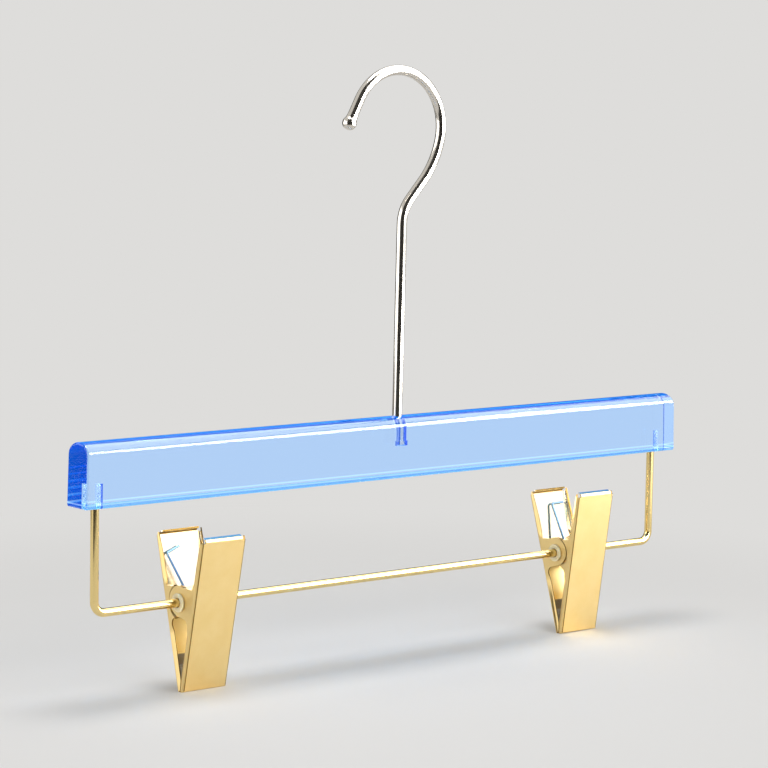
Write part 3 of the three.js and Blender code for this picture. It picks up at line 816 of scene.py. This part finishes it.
def add_flange(form, sign, stepped):
    """Fills the outline less the pivot hole, cuts it along the press lines and presses the ear in."""
    loops = [ear_outline(), arc((0, 0), EAR_HOLE / 2, 0, 360, HOLE_SIDES)[:-1]]
    edges = []
    for loop in loops:
        corners = [form.verts.new((sign * jaw_half, y, z)) for y, z in loop]
        edges += [form.edges.new((corners[i - 1], corners[i])) for i in range(len(corners))]
    filled = bmesh.ops.triangle_fill(form, use_beauty=True, edges=edges)["geom"]
    faces = [f for f in filled if isinstance(f, bmesh.types.BMFace)]
    cuts = []
    if stepped:
        for degrees in PRESSED:
            outwards = Vector((0, math.cos(math.radians(degrees)), math.sin(math.radians(degrees))))
            cuts += [(outwards, press_edge - STEP_RUN * k / STEP_CUTS) for k in range(STEP_CUTS + 1)]
    for k in range(TOE_CUTS + 1):
        cuts.append((Z, ear_zone[0] - TOE_RUN * k / TOE_CUTS))
        cuts.append((Z, ear_zone[1] + TOE_RUN * k / TOE_CUTS))
    for axis, level in cuts:
        geometry = faces + list({e for f in faces for e in f.edges})
        geometry += list({v for f in faces for v in f.verts})
        cut = bmesh.ops.bisect_plane(
            form, geom=geometry, plane_co=axis * level, plane_no=axis, dist=ON_THE_CUT
        )
        faces = [g for g in cut["geom"] if isinstance(g, bmesh.types.BMFace)]
    for vertex in {v for f in faces for v in f.verts}:
        vertex.co.x -= sign * pressed_in(vertex.co.y, vertex.co.z, stepped)


def add_panel(form, corners, finish=SATIN):
    form.faces.new([form.verts.new(corner) for corner in corners]).material_index = finish


def jaw_skin(stepped):
    form = bmesh.new()
    notch = jaw_top - BEND_RADIUS - NOTCH
    low, high = jaw_foot + BEND_RADIUS, jaw_top - BEND_RADIUS
    plate = [(-flat_half, low), (flat_half, low), (flat_half, notch), (lip_half, high)]
    plate += [(-lip_half, high), (-flat_half, notch)]
    add_panel(form, [(x, plate_y, z) for x, z in plate])
    for k in range(BEND_FACETS):
        (out_a, out_b), (in_a, in_b) = bend_out[k : k + 2], bend_in[k : k + 2]
        for sign in (-1, 1):
            a, b = sign * (flat_half + out_a), sign * (flat_half + out_b)
            side = [(a, in_a, low - out_a), (b, in_b, low - out_b), (b, in_b, notch), (a, in_a, notch)]
            add_panel(form, side, BEND if k in BEND_LINE else SATIN)
        near, beyond = (lip_in[k], high + lip_up[k]), (lip_in[k + 1], high + lip_up[k + 1])
        add_panel(form, [(lip_half, *near), (lip_half, *beyond), (-lip_half, *beyond), (-lip_half, *near)])
        a, b = flat_half + out_a, flat_half + out_b
        foot = [(a, in_a, low - out_a), (b, in_b, low - out_b)]
        add_panel(form, foot + [(-x, y, z) for x, y, z in foot[::-1]])
    near, beyond = (lip_in[-1], high + lip_up[-1]), (lip_edge, high + lip_up[-1] + lip_rise)
    lip = [(lip_half, *near), (lip_half, *beyond), (-lip_half, *beyond), (-lip_half, *near)]
    add_panel(form, lip, BRIGHT)
    tip_edge = closing_plane(jaw_foot)
    tip = [(jaw_half, bend_end), (jaw_half, tip_edge), (-jaw_half, tip_edge), (-jaw_half, bend_end)]
    add_panel(form, [(x, y, jaw_foot) for x, y in tip])
    for sign in (-1, 1):
        add_flange(form, sign, stepped)
    bmesh.ops.remove_doubles(form, verts=form.verts[:], dist=SAME_SPOT)
    bmesh.ops.dissolve_limit(
        form, angle_limit=SAME_PLANE, verts=form.verts[:], edges=form.edges[:], delimit={"MATERIAL"}
    )
    bmesh.ops.recalc_face_normals(form, faces=form.faces[:])
    widest = max(form.faces, key=lambda face: face.calc_area())
    if widest.normal.y > 0:
        bmesh.ops.reverse_faces(form, faces=form.faces[:])
    return form


def break_edges(piece, width):
    broken = piece.modifiers.new("broken edges", "BEVEL")
    broken.width = width * MM
    broken.segments = EDGE_STEPS
    broken.limit_method = "ANGLE"
    broken.angle_limit = math.radians(EDGE_ANGLE)
    keep_result(piece)


def make_jaw(side, kind):
    form = jaw_skin(kind == "inner")
    mesh = bpy.data.meshes.new(f"{side}_{kind}_jaw_sheet")
    form.to_mesh(mesh)
    form.free()
    mesh.transform(Matrix.Scale(MM, 4) @ jaw_place(side, kind))
    for finish in (satin_gold, bend_gold_painted_shade, bright_gold_painted_highlight):
        mesh.materials.append(finish)
    jaw = new_piece(mesh.name, mesh)
    metal = jaw.modifiers.new("sheet thickness", "SOLIDIFY")
    metal.thickness = SHEET * MM
    metal.offset = -1.0
    metal.use_even_offset = True
    metal.material_offset = BRIGHT
    metal.material_offset_rim = BEND
    break_edges(jaw, CUT_EDGE)
    upright = jaw_place(side, kind).inverted() @ Matrix.Scale(1 / MM, 4)
    # The lip's cut rim gets the painted shade; its underside goes back to satin.
    for face in jaw.data.polygons:
        facing = (upright.to_3x3() @ face.normal).normalized()
        if (upright @ face.center).z > jaw_top - BEND_RADIUS:
            if facing.y > LIP_RIM:
                face.material_index = BEND
            elif facing.z < LIP_UNDERSIDE:
                face.material_index = SATIN
    jaw.data.shade_smooth()
    jaw.data.set_sharp_from_angle(angle=math.radians(SHEET_CREASE))
    keep_flat(jaw)
    fasten(jaw, f"{side}_{kind}_jaw", "gold_sheet", f"{side}_clip_{kind}_jaw")


for side in ("left", "right"):
    for kind in ("outer", "inner"):
        make_jaw(side, kind)

# %% [markdown]
# ## The grip pads
# A wedge of vinyl is glued behind each tip, thick where the jaws meet, with grooves across it so that cloth
# doesn't slip. The blank is a rounded profile pushed along X. A Geometry Nodes tree cuts the grooves: a line
# of round cutters at an even pitch, taken away from the blank.

# %% Pad grooves
GROOVE_SIDES = 20

groove_tree = new_tree(
    "grip grooves",
    {
        "Grooves": "NodeSocketInt",
        "First groove": "NodeSocketVector",
        "Pitch": "NodeSocketVector",
        "Groove radius": "NodeSocketFloat",
        "Groove length": "NodeSocketFloat",
        "Finish": "NodeSocketMaterial",
    },
)
sizes = add_node(groove_tree, "NodeGroupInput")
row = add_node(
    groove_tree, "GeometryNodeMeshLine",
    {
        "Count": sizes.outputs["Grooves"],
        "Start Location": sizes.outputs["First groove"],
        "Offset": sizes.outputs["Pitch"],
    },
)
cutter = add_node(
    groove_tree, "GeometryNodeMeshCylinder",
    {
        "Vertices": GROOVE_SIDES,
        "Radius": sizes.outputs["Groove radius"],
        "Depth": sizes.outputs["Groove length"],
    },
)
across = add_node(
    groove_tree, "GeometryNodeTransform",
    {"Geometry": cutter.outputs["Mesh"], "Rotation": (0, math.pi / 2, 0)},
)
cutters = add_node(
    groove_tree, "GeometryNodeInstanceOnPoints",
    {"Points": row.outputs["Mesh"], "Instance": across.outputs["Geometry"]},
)
real_cutters = add_node(
    groove_tree, "GeometryNodeRealizeInstances", {"Geometry": cutters.outputs["Instances"]}
)
grooved = add_node(
    groove_tree, "GeometryNodeMeshBoolean",
    {"Mesh 1": sizes.outputs["Geometry"], "Mesh 2": real_cutters.outputs["Geometry"]},
    operation="DIFFERENCE", solver="EXACT",
)
coloured = add_node(
    groove_tree, "GeometryNodeSetMaterial",
    {"Geometry": grooved.outputs["Mesh"], "Material": sizes.outputs["Finish"]},
)
add_node(groove_tree, "NodeGroupOutput", {"Geometry": coloured.outputs["Geometry"]})
print("groove tree with", len(groove_tree.nodes), "nodes")

# %% Pads
PAD_SIDE_GAP = 0.5
PAD_BASE, PAD_HEIGHT, PAD_NOSE = 1.0, 13.0, 8.0
PAD_GROOVES, GROOVE_PITCH, GROOVE_RADIUS = 3, 2.0, 0.5
PAD_ROUNDING, PAD_EDGE, PAD_CREASE = 0.22, 0.12, 40


def rounded(corners, radius, steps=4):
    """A closed polygon with each corner replaced by a small curve."""
    result = []
    for i, corner in enumerate(corners):
        at, before, after = Vector(corner), Vector(corners[i - 1]), Vector(corners[(i + 1) % len(corners)])
        cut_in = at + (before - at).normalized() * radius
        cut_out = at + (after - at).normalized() * radius
        for k in range(steps + 1):
            t = k / steps
            result.append((1 - t) ** 2 * cut_in + 2 * t * (1 - t) * at + t * t * cut_out)
    return result


def make_pad(side, kind):
    back = plate_y + SHEET + PAD_GLUE
    foot = jaw_foot + SHEET + PAD_SIDE_GAP
    nose, top = foot + PAD_NOSE, foot + PAD_HEIGHT
    profile = [(back, foot), (closing_plane(foot), foot), (closing_plane(nose), nose)]
    profile += [(back + PAD_BASE, nose + PAD_BASE), (back + PAD_BASE, top), (back, top)]
    profile = rounded(profile, PAD_ROUNDING)
    pad_half = jaw_half - CAD_SHEET - PAD_SIDE_GAP
    form = bmesh.new()
    ends = [[form.verts.new(Vector((x, y, z)) * MM) for y, z in profile] for x in (-pad_half, pad_half)]
    form.faces.new(ends[0])
    form.faces.new(ends[1][::-1])
    for i in range(len(profile)):
        form.faces.new((ends[0][i - 1], ends[1][i - 1], ends[1][i], ends[0][i]))
    bmesh.ops.recalc_face_normals(form, faces=form.faces[:])
    mesh = bpy.data.meshes.new(f"{side}_{kind}_grip")
    form.to_mesh(mesh)
    form.free()
    pad = new_piece(mesh.name, mesh)
    first = foot + GROOVE_PITCH
    values = {
        "Grooves": PAD_GROOVES,
        "First groove": Vector((0, closing_plane(first), first)) * MM,
        "Pitch": Vector((0, GROOVE_PITCH * math.tan(closed_lean), GROOVE_PITCH)) * MM,
        "Groove radius": GROOVE_RADIUS * MM,
        "Groove length": 2 * JAW_WIDTH * MM,
        "Finish": vinyl,
    }
    grow(pad, groove_tree, values)
    break_edges(pad, PAD_EDGE)
    pad.data.shade_smooth()
    pad.data.set_sharp_from_angle(angle=math.radians(PAD_CREASE))
    pad.data.transform(Matrix.Scale(MM, 4) @ jaw_place(side, kind) @ Matrix.Scale(1 / MM, 4))
    fasten(pad, f"{side}_{kind}_jaw", "grip_pad", f"{side}_clip_{kind}_pad")


for side in ("left", "right"):
    for kind in ("outer", "inner"):
        make_pad(side, kind)

# %% [markdown]
# ## The bushes
# In each side of a clip sits a flanged nylon sleeve that runs on the rail and carries the spring. It is a
# turned shape: one profile with softened corners, carried once around the rail's axis.

# %% Bushes
BUSH_BORE, SLEEVE = 3.7, 5.0
BUSH_FLANGE, BUSH_FLANGE_THICKNESS = 7.1, 0.9
BUSH_SEAT_GAP, BUSH_END_GAP, BUSH_ROUNDING = 0.1, 1.0, 0.2
BUSH_SIDES = 56
BUSH_TURN = {"first": math.pi, "second": 0.0}


def make_bush(side, order):
    seat = jaw_half + BUSH_SEAT_GAP
    outside = seat + BUSH_FLANGE_THICKNESS
    corners = [(BUSH_BORE, BUSH_END_GAP / 2), (SLEEVE, BUSH_END_GAP / 2), (SLEEVE, seat)]
    corners += [(BUSH_FLANGE, seat), (BUSH_FLANGE, outside), (BUSH_BORE, outside)]
    profile = rounded([(diameter / 2, x) for diameter, x in corners], BUSH_ROUNDING)
    form = bmesh.new()
    rings = []
    for k in range(BUSH_SIDES):
        angle = 2 * math.pi * k / BUSH_SIDES
        rings.append([form.verts.new((x, r * math.cos(angle), r * math.sin(angle))) for r, x in profile])
    for k, ring_verts in enumerate(rings):
        before = rings[k - 1]
        for i in range(len(profile)):
            form.faces.new((before[i - 1], before[i], ring_verts[i], ring_verts[i - 1]))
    bmesh.ops.recalc_face_normals(form, faces=form.faces[:])
    mesh = bpy.data.meshes.new(f"{side}_{order}_bush_nylon")
    form.to_mesh(mesh)
    form.free()
    turn = Matrix.Rotation(BUSH_TURN[order], 4, "Z")
    mesh.transform(Matrix.Scale(MM, 4) @ clip_place(side) @ turn)
    mesh.materials.append(nylon)
    mesh.shade_smooth()
    bush = new_piece(mesh.name, mesh)
    fasten(bush, f"{side}_carriage", "bush", f"{side}_clip_{order}_bush")


for side in ("left", "right"):
    for order in ("first", "second"):
        make_bush(side, order)

# %% [markdown]
# ## The springs
# A torsion spring of steel wire sits round the bushes; its blue is painted, a painted reflection of the bar.
# Its coil turns with both jaws, so it is made as three pieces: the leg that lies on the outer jaw and rides
# on it, the leg that lies on the inner jaw and rides on it, and the coil between them, which runs from one
# leg's side to the other's and is tied to neither jaw, so it stays still when the clip opens. The left
# spring is wound the other way from the right one, which crosses its legs.

# %% Springs
SPRING_WIRE = 1.0
SPRING_CLEARANCE, SPRING_SIDE_GAP = 0.3, 0.4
SPRING_TURNS = 4
LEG_FROM_LIP = {"outer": 6.1, "inner": 8.4}
SPRING_END_RUN, SPRING_END_BEND = 6.5, 1.0
SPRING_END_EDGE, SPRING_END_SHARE = 0.1, 0.8
SPRING_END_RISE = {"left": 20.0, "right": 0.0}
CROSSED = {"left": True, "right": False}
COIL_STEPS = 40
SPRING_SIDES = 16

coil_radius = SLEEVE / 2 + SPRING_CLEARANCE + SPRING_WIRE / 2
spring_span = jaw_half - EAR_STEP - CAD_SHEET - SPRING_SIDE_GAP - SPRING_WIRE / 2


def leg_plan(side, kind):
    """Where a leg's corner lies, which way its end points, and how it meets the coil."""
    sign = -1 if kind == "outer" else 1
    reach = jaw_top - LEG_FROM_LIP[kind]
    seat = Matrix.Rotation(closed_lean, 3, "X") @ Vector(
        (0, plate_y + CAD_SHEET + SPRING_CLEARANCE + SPRING_WIRE / 2, reach)
    )
    x = 0.0 if kind == "outer" else -spring_span
    rise = math.radians(SPRING_END_RISE[side])
    up_plate = Vector((0, sign * math.sin(closed_lean), math.cos(closed_lean)))
    corner = Vector((x, -sign * seat.y, seat.z))
    distance = math.hypot(seat.y, seat.z)
    return {
        "kind": kind,
        "x": x,
        "corner": corner,
        "end": up_plate * math.sin(rise) + X * sign * math.cos(rise),
        "length": math.sqrt(distance**2 - coil_radius**2),
        "angle": math.atan2(corner.z, corner.y),
        "spread": math.acos(coil_radius / distance),
    }


def tangent(angle):
    return Vector((0, -math.sin(angle), math.cos(angle)))


def make_leg(side, plan, angle, outgoing):
    """From the coil's end along the tangent to the corner, then bent along the plate."""
    foot = Vector((plan["x"], coil_radius * math.cos(angle), coil_radius * math.sin(angle)))
    heading = tangent(angle) * outgoing
    setback = SPRING_END_BEND * math.tan(heading.angle(plan["end"]) / 2)
    form = WireForm(foot, heading).run(plan["length"] - setback)
    form.turn_to(plan["end"], SPRING_END_BEND).run(SPRING_END_RUN - setback - SPRING_END_EDGE)
    form.run(SPRING_END_EDGE, SPRING_END_SHARE)
    name = f"{side}_spring_{plan['kind']}_leg"
    leg = make_wire(name, form, SPRING_WIRE, SPRING_SIDES, spring_steel, clip_place(side))
    fasten(leg, f"{side}_{plan['kind']}_jaw", "spring_wire", f"{side}_clip_spring")


def make_spring(side):
    plans = [leg_plan(side, "outer"), leg_plan(side, "inner")]
    first, last = plans[::-1] if CROSSED[side] else plans
    start = first["angle"] + first["spread"]
    turn = last["angle"] - last["spread"] - start + 2 * math.pi * SPRING_TURNS
    make_leg(side, first, start, -1)
    make_leg(side, last, start + turn, 1)
    steps = math.ceil(turn / (2 * math.pi) * COIL_STEPS)
    stations = []
    for step in range(steps + 1):
        angle = start + turn * step / steps
        x = first["x"] + (last["x"] - first["x"]) * step / steps
        stations.append(Vector((x, coil_radius * math.cos(angle), coil_radius * math.sin(angle))))
    form = WireForm(stations[0], tangent(start))
    form.points, form.swells = stations, [1.0] * len(stations)
    coil = make_wire(f"{side}_spring_coil", form, SPRING_WIRE, SPRING_SIDES, spring_steel, clip_place(side))
    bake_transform(coil)
    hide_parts(f"{side}_clip_spring")
    print(coil.name, "winds", round(math.degrees(turn)), "degrees")


for side in ("left", "right"):
    make_spring(side)

# %% [markdown]
# ## The stage
# The hanger stands on its clip tips on a seamless sheet of pale paper. The paper is a large disc that keeps
# the soft shadows near the hanger and fades, away from it, into the pale colour that the world shows behind,
# so there is no horizon from any side. Rays that only carry light to dull surfaces get a weaker, even fill.

# %% Floor and world
PAPER = "#dedddb"
FILL = 0.14
PAPER_GRAIN_MM, PAPER_GRAIN, PAPER_GRAIN_DEPTH_MM = 1.2, 0.05, 0.1
FADE_FROM, FADE_TO = 0.15, 0.45
FLOOR_RADIUS, FLOOR_SIDES = 6.0, 96


def seen_directly(tree):
    """1 for rays from the camera and for those that a mirror or glass passes on, else 0."""
    ray = add_node(tree, "ShaderNodeLightPath")
    camera, mirror, glass = (ray.outputs[f"Is {kind} Ray"] for kind in ("Camera", "Glossy", "Transmission"))
    return worked_out(tree, "MAXIMUM", worked_out(tree, "MAXIMUM", camera, mirror), glass)


floor_z = cad_bounds[0][2]
form = bmesh.new()
bmesh.ops.create_circle(form, cap_ends=True, segments=FLOOR_SIDES, radius=FLOOR_RADIUS)
bmesh.ops.translate(form, verts=form.verts[:], vec=(0, 0, floor_z))
mesh = bpy.data.meshes.new("paper_floor")
form.to_mesh(mesh)
form.free()
paper, tree = new_material("pale_paper")
place = object_place(tree)
relief = dented(tree, patches(tree, place, PAPER_GRAIN_MM, 3.0), PAPER_GRAIN, PAPER_GRAIN_DEPTH_MM)
lit_paper = add_node(tree, "ShaderNodeBsdfDiffuse", {"Color": linear(PAPER), "Normal": relief})
distance = add_node(tree, "ShaderNodeVectorMath", {0: place}, operation="LENGTH").outputs["Value"]
fade = ramp(tree, distance, FADE_FROM, FADE_TO, interpolation_type="SMOOTHSTEP")
share = worked_out(tree, "MULTIPLY", seen_directly(tree), fade)
far_paper = add_node(tree, "ShaderNodeEmission", {"Color": linear(PAPER)})
mixed = add_node(
    tree, "ShaderNodeMixShader",
    {0: share, 1: lit_paper.outputs["BSDF"], 2: far_paper.outputs["Emission"]},
)
add_node(tree, "ShaderNodeOutputMaterial", {"Surface": mixed.outputs["Shader"]})
mesh.materials.append(paper)
new_piece("paper_floor", mesh)

world = bpy.data.worlds.new("studio")
bpy.context.scene.world = world
world.use_nodes = True
tree = world.node_tree
tree.nodes.clear()
behind = add_node(tree, "ShaderNodeBackground", {"Color": linear(PAPER)})
fill = add_node(tree, "ShaderNodeBackground", {"Color": (1, 1, 1, 1), "Strength": FILL})
mixed = add_node(
    tree, "ShaderNodeMixShader",
    {0: seen_directly(tree), 1: fill.outputs["Background"], 2: behind.outputs["Background"]},
)
add_node(tree, "ShaderNodeOutputWorld", {"Surface": mixed.outputs["Shader"]})
print("floor at", round(floor_z / MM, 2), "mm")

# %% [markdown]
# ## Studio light
# A small softbox overhead makes the shadow under the bar, and larger ones at the front, right and left light
# the rest. The right one's face is a card of its own, because polished things show it: it is the white line
# along the bar's shoulder and the white in the bright insides of the jaws. It is bright in two bands and
# dim between them, which leaves only a veil on the bar's front. A second lit card hangs overhead. Polished
# wire also needs something dark to reflect or it has no edges, so dark curtains stand round the camera and
# at the rear, a grey flag stands at the bar's left end, and a white card lights the wire's left side. The
# cards and curtains are seen in reflections only.

# %% Lamps
WATTS = 4  # lamp power for one square metre of softbox and one unit of radiance


def softbox(name, where, target, width, height, radiance):
    lamp = bpy.data.lights.new(name, "AREA")
    lamp.shape = "RECTANGLE"
    lamp.size, lamp.size_y = width, height
    lamp.energy = WATTS * radiance * width * height
    box = bpy.data.objects.new(name, lamp)
    aim = (Vector(target) - Vector(where)).to_track_quat("-Z", "Y")
    box.matrix_world = Matrix.Translation(where) @ aim.to_matrix().to_4x4()
    bpy.context.scene.collection.objects.link(box)
    return box


softbox("top_softbox", (0.0, 0.03, 0.6), (0, 0, -0.2), width=0.26, height=0.26, radiance=15.5)
hidden_lamps = [
    softbox("front_softbox", (0.0, -0.75, 0.5), (0, 0, -0.2), width=0.6, height=0.35, radiance=2.6),
    softbox("right_softbox", (0.83, -1.0, 0.25), (0, 0, -0.15), width=1.0, height=0.5, radiance=2.2),
    softbox("left_softbox", (-0.7, -0.25, -0.05), (0, 0, -0.2), width=0.5, height=0.3, radiance=3.0),
]
for lamp in hidden_lamps:
    lamp.visible_glossy = False
print("four softboxes")

# %% Cards for reflections
VIEW_AZIMUTH = -39.67
CARD_STEP = 4
NAP_MM = 25
OVERHEAD, OVERHEAD_WIDTH, OVERHEAD_DEPTH = (0.6, -0.13, 0.55), 0.9, 1.0


def set_card(name, form, material):
    mesh = bpy.data.meshes.new(name)
    form.to_mesh(mesh)
    form.free()
    mesh.materials.append(material)
    card = new_piece(name, mesh)
    card.visible_camera = False
    card.visible_diffuse = False
    card.visible_shadow = False
    card.visible_transmission = False


def standing_card(name, material, left, right, radius, top, foot=floor_z):
    """A curved card round the hanger, between two angles from the camera's side and two heights."""
    form = bmesh.new()
    count = math.ceil((right - left) / CARD_STEP)
    columns = []
    for k in range(count + 1):
        angle = math.radians(VIEW_AZIMUTH + left + (right - left) * k / count)
        spot = Vector((math.sin(angle), -math.cos(angle), 0)) * radius
        columns.append([form.verts.new(spot + Z * foot), form.verts.new(spot + Z * top)])
    for (a, b), (c, d) in zip(columns, columns[1:]):
        form.faces.new((a, c, d, b))
    set_card(name, form, material)


def felt(name, colour, worn_colour):
    material, tree = new_material(name)
    nap = patches(tree, object_place(tree), NAP_MM, 2.0)
    shade = blended(tree, nap, linear(colour), linear(worn_colour))
    dull = add_node(tree, "ShaderNodeBsdfDiffuse", {"Color": shade})
    add_node(tree, "ShaderNodeOutputMaterial", {"Surface": dull.outputs["BSDF"]})
    return material


def lit_cloth(name, radiance):
    """Glowing cloth: its radiance is a number, or a function that works it out in the material's tree."""
    material, tree = new_material(name)
    strength = radiance(tree) if callable(radiance) else radiance
    light = add_node(tree, "ShaderNodeEmission", {"Color": (1, 1, 1, 1), "Strength": strength})
    add_node(tree, "ShaderNodeOutputMaterial", {"Surface": light.outputs["Emission"]})
    return material


FACE_LEVELS = (
    (-0.23, 1.5), (-0.165, 1.5), (-0.158, 19.0), (-0.128, 19.0), (-0.118, 1.4), (-0.045, 1.4),
    (-0.03, 18.0), (0.2, 18.0), (0.24, 0.0), (0.3, 0.0),
)


def banded(tree):
    """The radiance at each height of the softbox's face."""
    heights, levels = zip(*FACE_LEVELS)
    low, span, brightest = heights[0], heights[-1] - heights[0], max(levels)
    rise = ramp(tree, height_of(tree, object_place(tree)), low, heights[-1])
    profile = add_node(tree, "ShaderNodeFloatCurve", {"Value": rise})
    curve = profile.mapping.curves[0]
    while len(curve.points) < len(FACE_LEVELS):
        curve.points.new(0.5, 0.5)
    for point, z, level in zip(curve.points, heights, levels):
        point.location = ((z - low) / span, level / brightest)
        point.handle_type = "VECTOR"
    profile.mapping.update()
    return worked_out(tree, "MULTIPLY", profile.outputs[0], brightest)


form = bmesh.new()
bmesh.ops.create_grid(form, x_segments=1, y_segments=1, size=0.5)
bmesh.ops.scale(form, verts=form.verts[:], vec=(OVERHEAD_WIDTH, OVERHEAD_DEPTH, 1))
bmesh.ops.translate(form, verts=form.verts[:], vec=OVERHEAD)
set_card("overhead_softbox_face", form, lit_cloth("overhead_cloth", 3.5))
dark_felt = felt("dark_felt", "#3a3937", "#454441")
grey_felt = felt("grey_felt", "#868582", "#908f8c")
white_card, softbox_face = lit_cloth("white_card", 2.4), lit_cloth("softbox_cloth", banded)
standing_card("camera_curtain", dark_felt, -38, 52, radius=0.42, top=0.9)
standing_card("rear_left_curtain", dark_felt, -150, -112, radius=1.0, top=0.37)
standing_card("rear_curtain", dark_felt, 150, 210, radius=1.2, top=0.6, foot=-0.2)
standing_card("left_end_flag", grey_felt, -150, -75, radius=0.5, top=-0.15)
standing_card("left_white_card", white_card, -112, -40, radius=0.9, top=0.47)
standing_card("right_softbox_face", softbox_face, 52, 112, radius=0.4, top=0.3)
print("seven cards")

# %% [markdown]
# ## The camera
# The view was fitted to the photograph: its angle, its roll, its distance and its long lens. A long lens
# from about a metre keeps the hanger's lines nearly parallel.

# %% Camera
AZIMUTH, ELEVATION, ROLL = (math.radians(v) for v in (VIEW_AZIMUTH, 6.42, 1.02))
DISTANCE = 1067.95
TARGET = Vector((-6.87, 0, -120.34))
FOCAL_PIXELS, IMAGE_PIXELS, SENSOR = 2721.96, 768, 36.0

level = math.cos(ELEVATION)
back = Vector((math.sin(AZIMUTH) * level, -math.cos(AZIMUTH) * level, math.sin(ELEVATION)))
right = Vector((math.cos(AZIMUTH), math.sin(AZIMUTH), 0))
up = back.cross(right)
rolled_right = right * math.cos(ROLL) + up * math.sin(ROLL)
rolled_up = up * math.cos(ROLL) - right * math.sin(ROLL)
view = Matrix((rolled_right, rolled_up, back)).transposed().to_4x4()
lens = bpy.data.cameras.new("camera")
lens.sensor_width = SENSOR
lens.lens = FOCAL_PIXELS * SENSOR / IMAGE_PIXELS
camera = bpy.data.objects.new("camera", lens)
camera.matrix_world = Matrix.Translation((TARGET + back * DISTANCE) * MM) @ view
bpy.context.scene.collection.objects.link(camera)
bpy.context.scene.camera = camera
bpy.context.scene.view_settings.view_transform = "Standard"
print("lens", round(lens.lens, 1), "mm")
